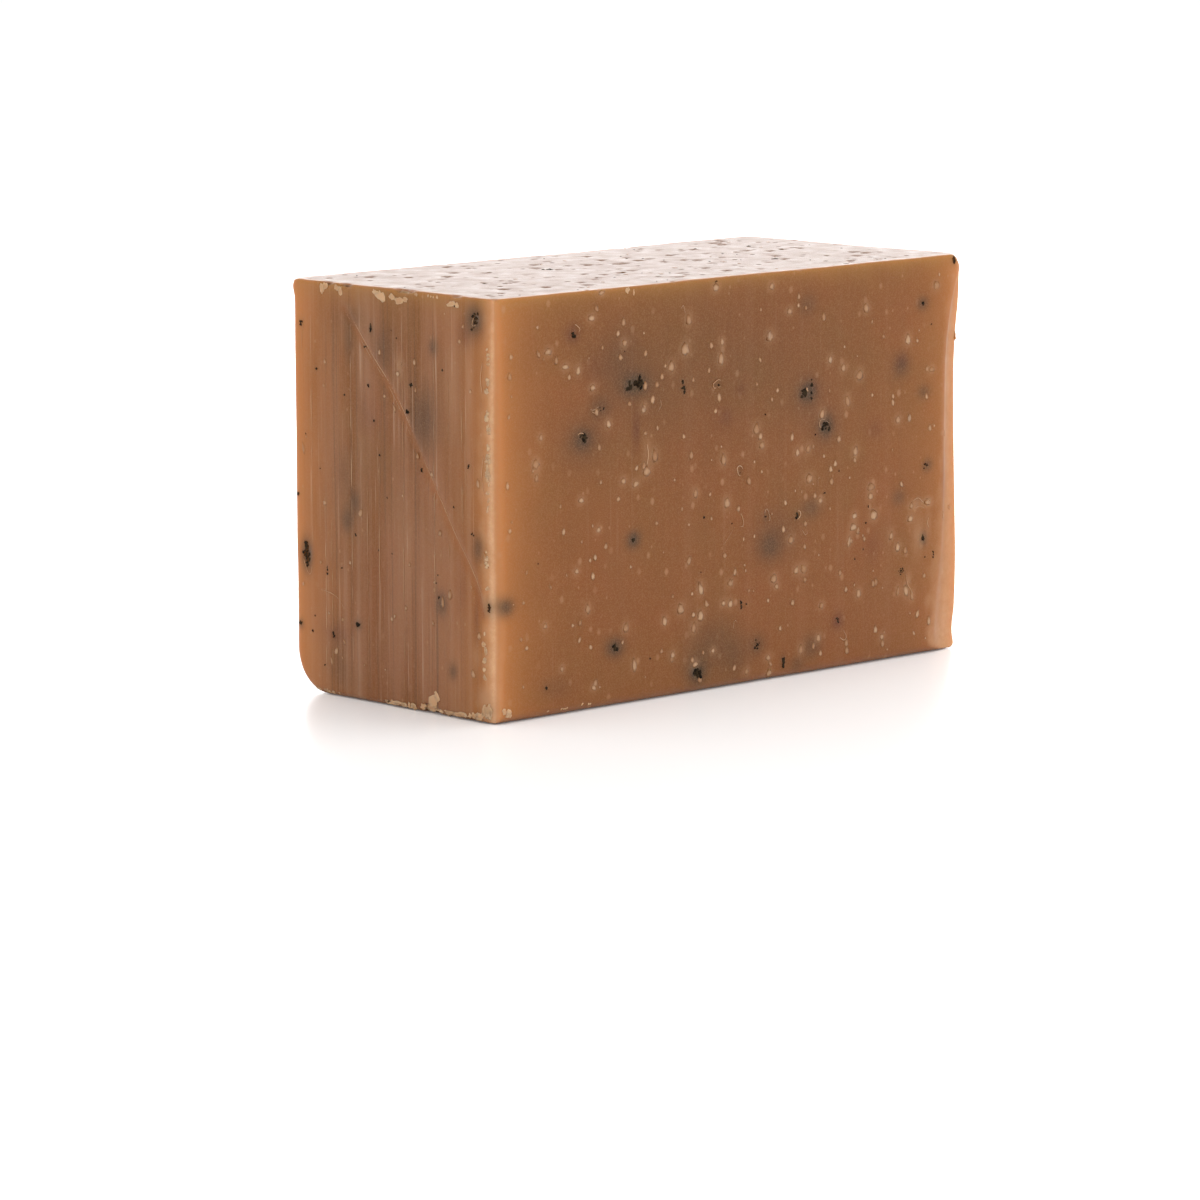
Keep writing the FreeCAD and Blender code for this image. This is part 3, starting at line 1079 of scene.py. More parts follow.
@dataclass(frozen=True)
class PaleSpecks:
    """Bubbles and soap crumbs that show as pale drops."""

    seed: int = 33
    # Across, up, half width, half height, on the front long face
    drops: tuple = (
        (-29.2, 45.2, 0.3, 0.5), (-31.5, 45.8, 0.5, 0.3), (-23.8, 37.7, 0.35, 0.45),
        (-20.9, 48.1, 0.35, 0.35), (-17.3, 39.3, 0.3, 0.4), (-12.3, 44.3, 0.45, 0.6),
        (-9.8, 46.4, 0.6, 0.7), (-9.1, 50.3, 0.4, 0.6), (-4.1, 54.2, 0.5, 0.45), (-26.8, 51.8, 0.5, 0.35),
        (-34.5, 48.0, 0.5, 0.35), (-25.0, 55.0, 0.45, 0.25), (-15.4, 32.7, 0.4, 0.7),
        (-18.9, 29.3, 0.45, 0.35), (-21.1, 29.9, 0.35, 0.35), (-16.9, 30.8, 0.55, 0.5),
        (-26.6, 42.7, 0.4, 0.35), (-36.8, 33.6, 0.5, 0.5), (-35.9, 37.0, 0.25, 0.35),
        (-2.6, 31.0, 0.4, 0.7), (-3.1, 44.6, 0.4, 0.7), (-2.9, 46.9, 0.25, 0.4), (6.2, 46.9, 0.55, 0.55),
        (9.9, 50.0, 0.4, 0.35), (6.5, 53.6, 0.35, 0.4), (24.8, 49.3, 0.4, 0.55), (38.7, 51.4, 0.5, 0.45),
        (33.1, 44.4, 0.4, 0.6), (23.6, 40.2, 0.55, 0.6), (17.8, 42.8, 0.3, 0.45),
        (20.4, 41.5, 0.35, 0.45), (21.2, 36.9, 0.35, 0.65), (16.3, 35.5, 0.4, 0.55),
        (3.6, 34.6, 0.45, 0.6), (4.7, 32.3, 0.4, 0.45), (11.5, 30.7, 0.3, 0.45), (13.6, 31.0, 0.35, 0.45),
        (22.8, 29.8, 0.4, 0.55), (31.2, 33.4, 0.35, 0.45), (37.9, 39.8, 0.45, 0.3),
        (25.9, 24.6, 0.55, 0.45), (13.8, 26.9, 0.55, 0.5), (26.4, 20.6, 0.6, 0.6),
        (22.4, 19.4, 0.5, 0.45), (22.6, 20.9, 0.35, 0.35), (10.3, 18.9, 0.45, 0.45),
        (15.9, 23.7, 0.35, 0.3), (25.8, 23.3, 0.4, 0.4), (21.6, 17.6, 0.25, 0.7), (30.0, 17.4, 0.3, 0.45),
        (31.3, 15.7, 0.35, 0.5), (7.0, 13.9, 0.5, 0.5), (7.5, 12.8, 0.3, 0.3), (11.3, 14.6, 0.35, 0.45),
        (12.7, 14.6, 0.4, 0.6), (23.5, 10.1, 0.35, 0.55), (31.4, 9.6, 0.2, 0.55), (15.6, 4.8, 0.35, 0.45),
        (12.2, 3.6, 0.3, 0.6), (6.0, 3.2, 0.35, 0.35), (6.2, 1.0, 0.4, 0.45), (1.8, 1.8, 0.3, 0.3),
        (16.2, 9.2, 0.35, 0.35), (28.2, 3.5, 0.3, 0.35), (-1.9, 25.1, 0.45, 0.6), (-1.3, 14.2, 0.4, 0.4),
        (-1.3, 11.4, 0.35, 0.45), (-2.6, 11.6, 0.3, 0.3), (-10.6, 11.7, 0.5, 0.6),
        (-6.9, 14.0, 0.35, 0.75), (-6.9, 10.4, 0.45, 0.6), (-8.2, 8.9, 0.35, 0.6),
        (-13.6, 10.4, 0.4, 0.5), (-20.7, 10.3, 0.4, 0.5), (-19.2, 5.2, 0.3, 0.7), (-12.1, 5.7, 0.3, 0.4),
        (-4.6, 5.4, 0.25, 0.3), (-28.8, 28.1, 0.35, 0.3), (-25.7, 23.9, 0.3, 0.3),
        (-27.6, 13.6, 0.35, 0.5), (-29.6, 18.8, 0.3, 0.3), (-35.3, 12.2, 0.3, 0.3),
        (-32.3, 6.2, 0.25, 0.3), (-7.8, 27.0, 0.3, 0.55), (-26.5, 3.0, 0.35, 0.3), (-7.9, 3.9, 0.4, 0.3),
        (33.0, 9.4, 0.35, 0.7), (34.2, 8.6, 0.25, 0.6), (34.0, 21.2, 0.3, 0.35), (37.3, 21.4, 0.5, 0.35),
        (33.8, 19.4, 0.4, 0.4),
    )
    # Across, up, half width, half height, on the left end
    end_drops: tuple = (
        (-1.7, 45.8, 0.18, 0.8), (-1.2, 44.4, 0.3, 0.3), (-0.4, 39.8, 0.18, 0.5), (10.0, 7.6, 0.16, 0.35),
        (12.6, 4.8, 0.16, 0.5), (-15.5, 6.4, 0.3, 0.45), (-16.7, 11.5, 0.3, 0.4), (-9.6, 15.2, 0.22, 0.6),
        (-8.0, 16.6, 0.16, 0.4), (-8.1, 17.6, 0.22, 0.2), (17.9, 32.9, 0.2, 0.6),
        (-17.9, 21.5, 0.25, 0.9), (1.5, 41.2, 0.22, 0.2), (-16.6, 31.4, 0.25, 0.5),
    )
    growth: float = 1.3
    thickness: float = 0.05
    halo_margin: float = 0.35
    halo_strength: float = 0.42
    stray_counts: tuple = (
        (Side.FRONT, 190),
        (Side.BACK, 260),
        (Side.LEFT, 34),
        (Side.RIGHT, 40),
        (Side.TOP, 20),
        (Side.FOOT, 60),
    )
    stray_margin: float = 1.2
    stray_half: float = 0.27
    stray_sizes: tuple[float, float] = (0.5, 1.5)
    stray_heights: tuple[float, float] = (1.0, 1.8)

    def spots(self, form: Form) -> tuple[Array, Array]:
        """Lists the placed drops and the strays on every face.

        Args:
            form: the bar.

        Returns:
            Their places, and their half sizes across, up and out.
        """
        rng = np.random.default_rng(self.seed)
        places, widths, heights = [], [], []
        for side, drops in ((Side.FRONT, self.drops), (Side.LEFT, self.end_drops)):
            across, up, wide, high = np.array(drops).T
            places.append(form.on_side(side, across, up))
            widths.append(wide * self.growth)
            heights.append(high * self.growth)
        places.append(strew_all(form, self.stray_counts, self.stray_margin, rng))
        widths.append(self.stray_half * rng.uniform(*self.stray_sizes, len(places[-1])))
        heights.append(widths[-1] * rng.uniform(*self.stray_heights, len(places[-1])))
        wide, high = np.concatenate(widths), np.concatenate(heights)
        return np.concatenate(places), np.stack([wide, high, np.full(len(wide), self.thickness)], axis=1)

    def build(self, form: Form) -> bpy.types.Object:
        """Makes the drops and the strays as one piece."""
        places, halves = self.spots(form)
        return Strewing(places, halves, uneven=0.2, seed=self.seed, sink=0.15).build("pale_specks", form)

    def halos(self) -> Blots:
        """Gives each placed drop the soft pale spot that shows round it through the soap."""
        margin = self.halo_margin
        return Blots(
            tuple(
                (Side.FRONT, across, up, wide + margin, high + margin, self.halo_strength)
                for across, up, wide, high in self.drops
            )
        )


@dataclass(frozen=True)
class EdgeCrumbs:
    """Cream crumbs and flakes that hang on the broken edges."""

    seed: int = 8
    # Side, across, up, spread across, spread up, half size of a bit, bits
    marks: tuple = (
        *on(
            Side.LEFT,
            (-6.0, 55.0, 2.6, 0.1, 0.2, 6), (14.2, 0.3, 2.4, 0.1, 0.26, 9), (1.4, 0.4, 2.0, 0.2, 0.3, 7),
            (-2.4, 0.4, 2.6, 0.2, 0.34, 9), (-11.2, 0.5, 2.6, 0.2, 0.34, 12),
            (-15.4, 0.6, 1.0, 0.5, 0.34, 6), (-17.9, 1.4, 0.8, 0.8, 0.36, 7),
            (-18.4, 45.0, 0.25, 5.0, 0.24, 12), (-18.3, 33.0, 0.3, 6.0, 0.28, 26),
            (-18.2, 21.0, 0.3, 4.0, 0.22, 8), (-17.7, 8.0, 0.4, 4.0, 0.26, 12),
        ),
        *on(
            Side.FRONT,
            (-41.8, 1.3, 0.9, 0.8, 0.34, 6), (-31.0, 0.8, 6.0, 0.3, 0.15, 9),
            (-20.0, 54.7, 1.2, 0.4, 0.26, 5),
        ),
        *on(
            Side.BACK,
            (16.5, 54.6, 2.0, 0.4, 0.3, 6), (-17.0, 54.7, 1.6, 0.3, 0.26, 5),
        ),
        *on(
            Side.RIGHT,
            (4.0, 0.8, 5.0, 0.4, 0.26, 10), (-6.0, 54.5, 4.0, 0.4, 0.24, 8),
        ),
    )
    # Across, up, half width, half height, half thickness of the flakes on the left end
    flakes: tuple = (
        (13.9, 54.4, 0.5, 0.75, 0.14), (13.2, 54.8, 0.5, 0.45, 0.12), (10.2, 54.4, 0.45, 0.7, 0.14),
        (10.9, 54.8, 0.5, 0.4, 0.12), (3.2, 54.7, 0.7, 0.4, 0.12), (2.0, 54.3, 1.1, 0.6, 0.14),
        (-0.2, 54.4, 0.6, 0.45, 0.12), (-1.6, 54.0, 1.0, 0.5, 0.14), (-2.8, 54.2, 0.5, 0.35, 0.12),
        (-11.7, 54.3, 0.9, 0.4, 0.12), (-12.7, 54.2, 0.4, 0.4, 0.12), (-6.5, 1.2, 1.9, 0.8, 0.16),
        (-7.7, 1.9, 0.9, 0.8, 0.16), (-8.4, 2.5, 0.45, 0.7, 0.14), (-5.2, 0.8, 0.9, 0.5, 0.14),
        (-10.2, 0.5, 1.5, 0.35, 0.14), (-12.9, 0.6, 1.3, 0.35, 0.14), (0.0, 0.4, 1.6, 0.3, 0.14),
        (-18.0, 1.8, 0.9, 1.0, 0.12), (-16.6, 0.9, 0.8, 0.5, 0.14),
    )

    def build(self, form: Form) -> bpy.types.Object:
        """Makes the crumbs along the edges and the larger flakes on the left foot."""
        places, halves = clusters(form, self.marks, self.seed)
        across, up, wide, high, thick = np.array(self.flakes).T
        return Strewing(
            np.concatenate([places, form.on_side(Side.LEFT, across, up)]),
            np.concatenate([halves, np.stack([wide, high, thick], axis=1)]),
            uneven=0.3,
            seed=self.seed,
            turn=0.3,
            sink=0.3,
            taper=0.1,
            sides=10,
            rings=5,
        ).build("edge_crumbs", form)


@dataclass(frozen=True)
class Thread:
    """A thin raised line on a side: knots as across and up, and its half thickness."""

    side: Side
    knots: tuple
    half: float
    broken: float = 0.6
    spacing: float = 0.3
    sides: int = 6
    end_fall: float = 0.4
    swing_length: float = 4.0

    def skin(self, form: Form, number: int) -> tuple[Array, Array, list[Array]]:
        """Works out the line's skin.

        A circle is carried along the knots' curve, which is laid on the bar. Its size falls to
        nothing at both ends and, on a broken line, swings with a noise along the way.

        Args:
            form: the bar.
            number: chooses the noise.

        Returns:
            The points, how far each stands out as a share from 0 to 1, and the faces.
        """
        knots = np.array(self.knots, float)
        run = walked(knots)
        even = np.linspace(0, run[-1], max(8, int(run[-1] / self.spacing)))
        across, up = hermite(run, knots, even).T
        seats, frames = form.seat(form.on_side(self.side, across, up))
        forward = unit(np.gradient(seats, axis=0))
        out = frames[:, 2]
        beside = unit(np.cross(forward, out))
        share = even / run[-1]
        size = self.half * np.sin(math.pi * share) ** self.end_fall
        swing = waves(np.stack([even, even * 0, even * 0], axis=1), self.swing_length, seed=number)
        size = size * (1 - self.broken * np.clip(0.5 - 1.2 * swing, 0, 1))
        turn = np.arange(self.sides)[:, None] * 2 * math.pi / self.sides
        size = size[1:-1, None, None]
        sideways = size * np.cos(turn) * beside[1:-1, None]
        ring = seats[1:-1, None] + sideways + size * np.sin(turn) * out[1:-1, None]
        points = np.concatenate([ring.reshape(-1, 3), seats[[0, -1]]])
        middle = np.append(np.tile(np.maximum(np.sin(turn[:, 0]), 0), len(even) - 2), [0.0, 0.0])
        return points, middle, rings_to_faces(len(even) - 2, self.sides)


def bow(across: float, up: float, wide: float, high: float, start: float, sweep: float) -> tuple:
    """Gives the knots of an uneven arc, an ellipse whose size swings by a sine of the angle.

    Args:
        across: its middle.
        up: its middle.
        wide: half its width.
        high: half its height.
        start: the angle where it starts, in degrees from the right.
        sweep: how far it runs, in degrees.

    Returns:
        Pairs of across and up.
    """
    angles = np.radians(start + np.linspace(0, sweep, 9))
    swell = 1 + 0.25 * np.sin(2.3 * angles + 5 * across)
    return tuple(zip(across + wide * swell * np.cos(angles), up + high * swell * np.sin(angles)))


@dataclass(frozen=True)
class Burrs:
    """Raised pale lines: the wire's, the scratch's, hairs, and rims of open bubbles."""

    wire_half: float = 0.055
    # Across, lowest and highest point of each line on the left end
    wire_lines: tuple = (
        (13.6, 1.5, 27.0), (12.3, 2.0, 24.0), (8.2, 3.0, 53.0), (5.0, 2.0, 34.0), (2.7, 12.0, 38.0),
        (-2.1, 1.5, 54.0), (-8.2, 6.0, 52.0), (-11.0, 4.0, 46.0), (16.2, 20.0, 51.0), (-13.6, 20.0, 48.0),
    )
    rims: tuple = (
        Thread(Side.LEFT, bow(17.3, 18.0, 0.8, 1.9, 200, 160), 0.07),
        Thread(Side.LEFT, bow(-16.1, 52.5, 0.5, 0.8, 230, 200), 0.09),
        Thread(Side.LEFT, ((14.9, 14.1), (12.4, 13.8), (10.6, 12.9), (9.8, 11.6)), 0.08),
        Thread(Side.FRONT, bow(5.7, 22.6, 0.5, 0.8, -80, 250), 0.09),
        Thread(Side.FRONT, bow(11.5, 22.1, 0.5, 0.7, -110, 210), 0.08),
        Thread(Side.FRONT, bow(0.7, 22.4, 0.5, 0.8, -120, 240), 0.09),
        Thread(Side.FRONT, bow(13.0, 19.8, 0.45, 0.5, 150, 220), 0.07),
        Thread(Side.FRONT, bow(20.4, 4.6, 0.7, 0.7, 190, 260), 0.08),
        Thread(Side.FRONT, bow(0.6, 29.2, 0.7, 0.6, 0, 300), 0.07),
        Thread(Side.FRONT, bow(16.8, 33.8, 1.0, 0.9, 10, 200), 0.07),
        Thread(Side.FRONT, bow(-3.8, 41.2, 0.7, 0.6, 20, 320), 0.09),
        Thread(Side.FRONT, bow(-28.5, 36.4, 0.7, 0.5, 20, 150), 0.07),
        Thread(Side.FRONT, bow(-29.6, 50.6, 0.6, 0.5, -60, 180), 0.07),
        Thread(Side.FRONT, bow(-0.4, 8.4, 0.4, 0.5, 0, 280), 0.06),
        Thread(Side.FRONT, bow(33.2, 44.4, 0.5, 0.6, 200, 150), 0.08),
        Thread(Side.FRONT, bow(15.8, 26.2, 0.4, 0.5, 60, 200), 0.06),
        Thread(Side.BACK, bow(-20.0, 30.0, 0.6, 0.8, 0, 250), 0.08),
        Thread(Side.BACK, bow(10.0, 38.0, 0.6, 0.7, 90, 250), 0.08),
        Thread(Side.BACK, bow(30.0, 14.0, 0.5, 0.7, 150, 250), 0.08),
    )
    hairs: tuple = (
        Thread(Side.FRONT, ((-27.2, 39.9), (-26.6, 39.7), (-25.4, 40.2)), 0.05),
        Thread(Side.FRONT, ((-26.9, 39.6), (-26.3, 39.3), (-25.7, 39.4)), 0.05),
        Thread(Side.FRONT, ((-2.7, 19.3), (-1.4, 20.6), (-0.2, 21.9)), 0.05),
        Thread(Side.FRONT, ((-14.4, 40.2), (-14.2, 39.3), (-14.8, 38.5)), 0.05),
        Thread(Side.FRONT, ((34.0, 21.7), (35.4, 22.1), (36.8, 21.3), (37.9, 21.9)), 0.09),
        Thread(Side.FRONT, ((34.6, 20.6), (35.9, 20.9), (37.0, 20.4)), 0.07),
        Thread(Side.FRONT, ((37.6, 19.4), (37.2, 18.4), (37.7, 17.6)), 0.07),
        Thread(Side.FRONT, ((33.0, 12.0), (33.2, 10.6), (34.0, 9.4), (34.6, 8.3)), 0.09),
        Thread(Side.FRONT, ((-16.9, 34.6), (-16.6, 33.0), (-16.9, 31.4)), 0.09),
        Thread(Side.FRONT, ((-10.6, 51.6), (-10.2, 52.2), (-9.7, 51.0)), 0.05),
        Thread(Side.LEFT, ((17.5, 51.0), (17.9, 48.4), (18.1, 45.6)), 0.06),
        Thread(Side.LEFT, ((-17.6, 47.4), (-17.2, 45.2), (-17.5, 43.0)), 0.1),
        Thread(Side.LEFT, ((-17.6, 35.2), (-17.3, 32.4), (-17.7, 29.8)), 0.1),
    )
    wire_knots: int = 5
    wire_broken: float = 0.9
    scratch_half: float = 0.07
    # Beside the scratch: how far across and up, first knot and the one past the last, share of the
    # half thickness, how broken
    scratch_rims: tuple = (
        (-0.42, -0.1, 0, 4, 0.8, 0.6),
        (0.38, 0.1, 0, 4, 0.7, 0.8),
        (-0.25, 0.0, 3, 7, 1.0, 0.4),
    )
    shade_seed: int = 4

    def threads(self, form: Form) -> list[Thread]:
        """Lists every line."""
        lines = []
        for across, low, high in self.wire_lines:
            knots = tuple((across, z) for z in np.linspace(low, high, self.wire_knots))
            lines.append(Thread(Side.LEFT, knots, self.wire_half, self.wire_broken))
        for across, up, first, last, share, broken in self.scratch_rims:
            knots = tuple((y + across, z + up) for y, z in form.scratch_path[first:last])
            lines.append(Thread(Side.LEFT, knots, self.scratch_half * share, broken))
        return [*lines, *self.rims, *self.hairs]

    def build(self, form: Form) -> bpy.types.Object:
        """Makes the lines as one piece."""
        points, caps, quads, shades, middles = [], [], [], [], []
        start = 0
        rng = np.random.default_rng(self.shade_seed)
        for number, thread in enumerate(self.threads(form)):
            skin, middle, (ends, sides) = thread.skin(form, number)
            points.append(skin)
            middles.append(middle)
            caps.append(ends + start)
            quads.append(sides + start)
            shades.append(np.full(len(skin), rng.uniform(0, 1)))
            start += len(skin)
        faces = [np.concatenate(caps), np.concatenate(quads)]
        layers = {"shade": np.concatenate(shades), "middle": np.concatenate(middles)}
        return write_bits("pale_burrs", form, np.concatenate(points), faces, layers)


# The cast block


@dataclass(frozen=True)
class SoapBlock:
    """The block's surface: a lattice shrunk onto the form and worn by its relief."""

    cells: tuple[int, int, int] = (156, 100, 126)
    # The painted glow under the top edge: how far it reaches and how unevenly; then how far the painted glow
    # along the sharp edges reaches
    rim_reach: float = 1.1
    rim_swing: float = 0.25
    edge_glow_reach: float = 0.6
    # A face counts as the top, or as a sawn end, between these parts of its normal
    top_facing: tuple[float, float] = (0.6, 0.95)
    end_facing: tuple[float, float] = (0.5, 0.95)
    # Where the painted highlight along each cut's ridge lies, as a share of the way over, and its widths
    # towards the end face and towards the long face
    ridge_place: float = 0.42
    ridge_widths: tuple[float, float] = (0.28, 0.15)
    flank_fall: float = 0.6
    foot_paleness: float = 0.3
    foot_reach: float = 8.0
    # How far the cuts' borders swing, and how far inside the cut they are at their fullest
    cut_swing: float = 0.12
    cut_inset: float = 0.05

    def lattice(self, form: Form) -> tuple[Array, Array]:
        """Lays a lattice of cells over the bar's box, finer towards its edges.

        Args:
            form: the bar.

        Returns:
            The points, in millimetres, and the quads, as rows of four numbers.
        """
        nx, ny, nz = self.cells
        x = form.length / 2 * graded(nx)
        y = form.depth / 2 * graded(ny)
        z = form.height / 2 * (1 + graded(nz))
        i, j, k = np.meshgrid(np.arange(nx + 1), np.arange(ny + 1), np.arange(nz + 1), indexing="ij")
        skin = (i % nx == 0) | (j % ny == 0) | (k % nz == 0)
        number = np.full(skin.shape, -1)
        number[skin] = np.arange(skin.sum())
        points = np.stack([x[i[skin]], y[j[skin]], z[k[skin]]], axis=1)
        share = (points[:, 0] / form.length + 0.5) * (points[:, 1] / form.depth + 0.5)
        points[:, 0] -= form.skew * share
        quads = []
        for axis in range(3):
            for last in (False, True):
                sheet = np.take(number, -1 if last else 0, axis=axis)
                ring = [sheet[:-1, :-1], sheet[1:, :-1], sheet[1:, 1:], sheet[:-1, 1:]]
                if last == (axis == 1):
                    ring.reverse()
                quads.append(np.stack([c.ravel() for c in ring], axis=1))
        return points, np.concatenate(quads)

    def pared(self, form: Form, points: Array) -> Array:
        """Marks the knife's cuts, with their own paleness, palest near the foot, and a painted highlight
        along a ridge.

        The painted ridge highlight is a bell of the share of the way over, wider towards the end face,
        and the cut's own paleness beside it falls from the end face to the long face.

        Args:
            form: the bar.
            points: places on the plain form.

        Returns:
            How pale each point is.
        """
        swing = waves(points, 3.0, seed=14) + 0.6 * waves(points * [1, 1, 0.5], 1.2, seed=15)
        at_foot = self.foot_paleness * np.exp(-points[:, 2] / self.foot_reach)
        pared = np.zeros(len(points))
        for cut in (form.near_cut, form.far_cut):
            level, over = cut.distance(points, form)
            width = np.where(over < self.ridge_place, *self.ridge_widths)
            # A painted highlight along the ridge, and the cut's own paleness beside it
            paleness = cut.ridge_highlight * np.exp(-(((over - self.ridge_place) / width) ** 2))
            paleness = paleness + cut.flank * (1 - self.flank_fall * over)
            soft = smoothstep(-cut.fade, -self.cut_inset, level + self.cut_swing * swing)
            pared = np.maximum(pared, soft * (paleness + at_foot))
        return pared

    def layers(self, form: Form, points: Array, normals: Array) -> dict[str, Array]:
        """Works out what the finish needs to know at each point.

        glow is the light that comes through the upright edges. rim is a painted glow that falls off
        from the top edge, and edge_glow is the narrow painted glow along the sharp edges. pared marks
        the knife's cuts, with their own paleness and a painted highlight along each ridge, sawn the
        wire's lines and groove the scratch. grey, brown and pale are the soft spots.

        Args:
            form: the bar.
            points: places on the plain form.
            normals: their outward directions.

        Returns:
            One value from 0 to 1 a point for each name.
        """
        to_end, to_side = form.insets(points)
        upright = on_uprights(normals)
        below_top = (form.height - points[:, 2]) * (1 + self.rim_swing * waves(points, 5.0, seed=10))
        flat_top = smoothstep(*self.top_facing, normals[:, 2])
        # Painted glow along the upright edges, and along the borders of the top
        edge_glow = np.exp(-np.maximum(to_end, to_side) / self.edge_glow_reach) * upright
        clouds = Blots(GREY_CLOUDS.rows + HerbFlecks().halos().rows)
        smears = Blots(PALE_SMEARS.rows + PaleSpecks().halos().rows)
        return {
            "glow": form.glow(points, normals),
            # Painted glow under the top edge of the upright faces
            "rim": np.exp(-below_top / self.rim_reach) * upright,
            # Painted glow along the sharp edges
            "edge_glow": np.maximum(edge_glow, flat_top * np.exp(-np.minimum(to_end, to_side) / self.edge_glow_reach)),
            "pared": self.pared(form, points),
            "sawn": smoothstep(*self.end_facing, np.abs(normals[:, 0])),
            "flat_top": flat_top,
            "groove": form.groove(points),
            "grey": clouds.strength(points, form),
            "brown": BROWN_SPOTS.strength(points, form),
            "pale": smears.strength(points, form),
        }

    def build(self, form: Form) -> bpy.types.Object:
        """Makes the block's surface.

        Args:
            form: the bar.

        Returns:
            The block as a closed mesh.
        """
        points, quads = self.lattice(form)
        points = form.settle(points)
        normals = form.slope(points)
        layers = self.layers(form, points, normals)
        points = points - normals * form.relief(points, normals)[:, None]
        low, high = cad_box()
        return write_mesh("soap_block", np.clip(points, low, high), [quads], layers)


# Finishes


@dataclass(frozen=True)
class Tint:
    """A colour, and how much of it shows where it is at its fullest."""

    colour: Colour
    share: float = 1.0


# Strength and depth in millimetres of the soap's finest relief
BUMP_STRENGTH = 0.4
BUMP_DEPTH = 0.1


class Nodes:
    """Adds, sets and links the nodes of one shader tree."""

    def __init__(self, tree: bpy.types.NodeTree) -> None:
        """Takes the tree to work on."""
        self.tree = tree

    def add(self, kind: str, inputs: dict | None = None, **settings: object) -> bpy.types.Node:
        """Adds a node.

        Args:
            kind: the node's type.
            inputs: a value or another node's socket for each input, by name or number.
            settings: the node's own properties.

        Returns:
            The node.
        """
        made = self.tree.nodes.new(kind)
        for name, value in settings.items():
            setattr(made, name, value)
        for name, value in (inputs or {}).items():
            self.feed(made.inputs[name], value)
        return made

    def feed(self, socket: NodeSocket, value: object) -> None:
        """Links a socket to an input, or sets the input to a plain value."""
        if isinstance(value, NodeSocket):
            self.tree.links.new(value, socket)
        else:
            socket.default_value = value

    def dress(self, inputs: dict) -> None:
        """Sets or links the inputs of the material's Principled shader."""
        shader = self.tree.nodes["Principled BSDF"]
        for name, value in inputs.items():
            self.feed(shader.inputs[name], value)

    def math(self, operation: str, a: object, b: object = 0.0, clamp: bool = False) -> NodeSocket:
        """Adds a sum of two values."""
        return self.add("ShaderNodeMath", {0: a, 1: b}, operation=operation, use_clamp=clamp).outputs[0]

    def mix(self, factor: object, a: object, b: object) -> NodeSocket:
        """Adds a mix of two colours."""
        a, b = ((*c, 1.0) if isinstance(c, tuple) else c for c in (a, b))
        return self.add("ShaderNodeMix", {0: factor, 6: a, 7: b}, data_type="RGBA").outputs[2]

    def tint(self, colour: object, mask: object, paint: Tint) -> NodeSocket:
        """Mixes a tint into a colour, as far as a mask says."""
        return self.mix(self.math("MULTIPLY", mask, paint.share, True), colour, paint.colour)

    def group(self, tree: bpy.types.NodeTree, **inputs: object) -> bpy.types.NodeOutputs:
        """Adds a shared group and gives its outputs."""
        return self.add("ShaderNodeGroup", inputs, node_tree=tree).outputs

    def layer(self, name: str) -> NodeSocket:
        """Reads one of the mesh's attributes."""
        return self.add("ShaderNodeAttribute", attribute_name=name).outputs["Fac"]

    def spread(self, value: object, low: float, high: float) -> NodeSocket:
        """Maps low to 0 and high to 1 with an ease, and clamps."""
        inputs = {"Value": value, "From Min": low, "From Max": high}
        return self.add("ShaderNodeMapRange", inputs, interpolation_type="SMOOTHSTEP").outputs["Result"]

    def noise(self, place: object, size: float, detail: float = 2.0, rough: float = 0.5) -> NodeSocket:
        """Adds a noise whose lumps have about this size, in millimetres."""
        inputs = {"Vector": place, "Scale": 1 / (size * MM), "Detail": detail, "Roughness": rough}
        return self.add("ShaderNodeTexNoise", inputs).outputs["Fac"]

    def stretch(self, place: object, share: float) -> NodeSocket:
        """Takes the place's Z times a share, which draws a pattern out up the bar."""
        return self.add("ShaderNodeMapping", {"Vector": place, "Scale": (1.0, 1.0, share)}).outputs[0]

    def bump(self, height: object) -> NodeSocket:
        """Turns a height into a normal, with the soap's own fine relief."""
        inputs = {"Height": height, "Strength": BUMP_STRENGTH, "Distance": BUMP_DEPTH * MM}
        return self.add("ShaderNodeBump", inputs).outputs["Normal"]


def new_material(name: str) -> tuple[bpy.types.Material, Nodes]:
    """Makes a material and gives it with its nodes' helper."""
    material = bpy.data.materials.new(name)
    material.use_nodes = True
    return material, Nodes(material.node_tree)


def new_group(name: str, inputs: tuple, outputs: tuple) -> tuple[bpy.types.NodeTree, Nodes, dict, dict]:
    """Makes an empty node group.

    Args:
        name: its name.
        inputs: name and socket type of each input.
        outputs: name and socket type of each output.

    Returns:
        The group, its nodes' helper, its inputs' sockets and its output node's sockets.
    """
    tree = bpy.data.node_groups.new(name, "ShaderNodeTree")
    for label, kind in inputs:
        tree.interface.new_socket(name=label, in_out="INPUT", socket_type=kind)
    for label, kind in outputs:
        tree.interface.new_socket(name=label, in_out="OUTPUT", socket_type=kind)
    nodes = Nodes(tree)
    source = nodes.add("NodeGroupInput").outputs
    target = nodes.add("NodeGroupOutput").inputs
    return tree, nodes, source, target


VALUE = "NodeSocketFloat"
VECTOR = "NodeSocketVector"


def wax_grain() -> bpy.types.NodeTree:
    """Makes the fine grain of cut wax: a mask of light grains and the height of its bump."""
    tree, nodes, source, target = new_group(
        "wax_grain", (("Place", VECTOR),), (("Grains", VALUE), ("Height", VALUE))
    )
    fine = nodes.noise(source["Place"], 0.16, 3.0, 0.7)
    coarse = nodes.noise(source["Place"], 0.9, 3.0, 0.6)
    nodes.feed(target["Grains"], nodes.spread(fine, 0.42, 0.66))
    nodes.feed(target["Height"], nodes.math("ADD", nodes.math("MULTIPLY", fine, 0.35), coarse))
    return tree


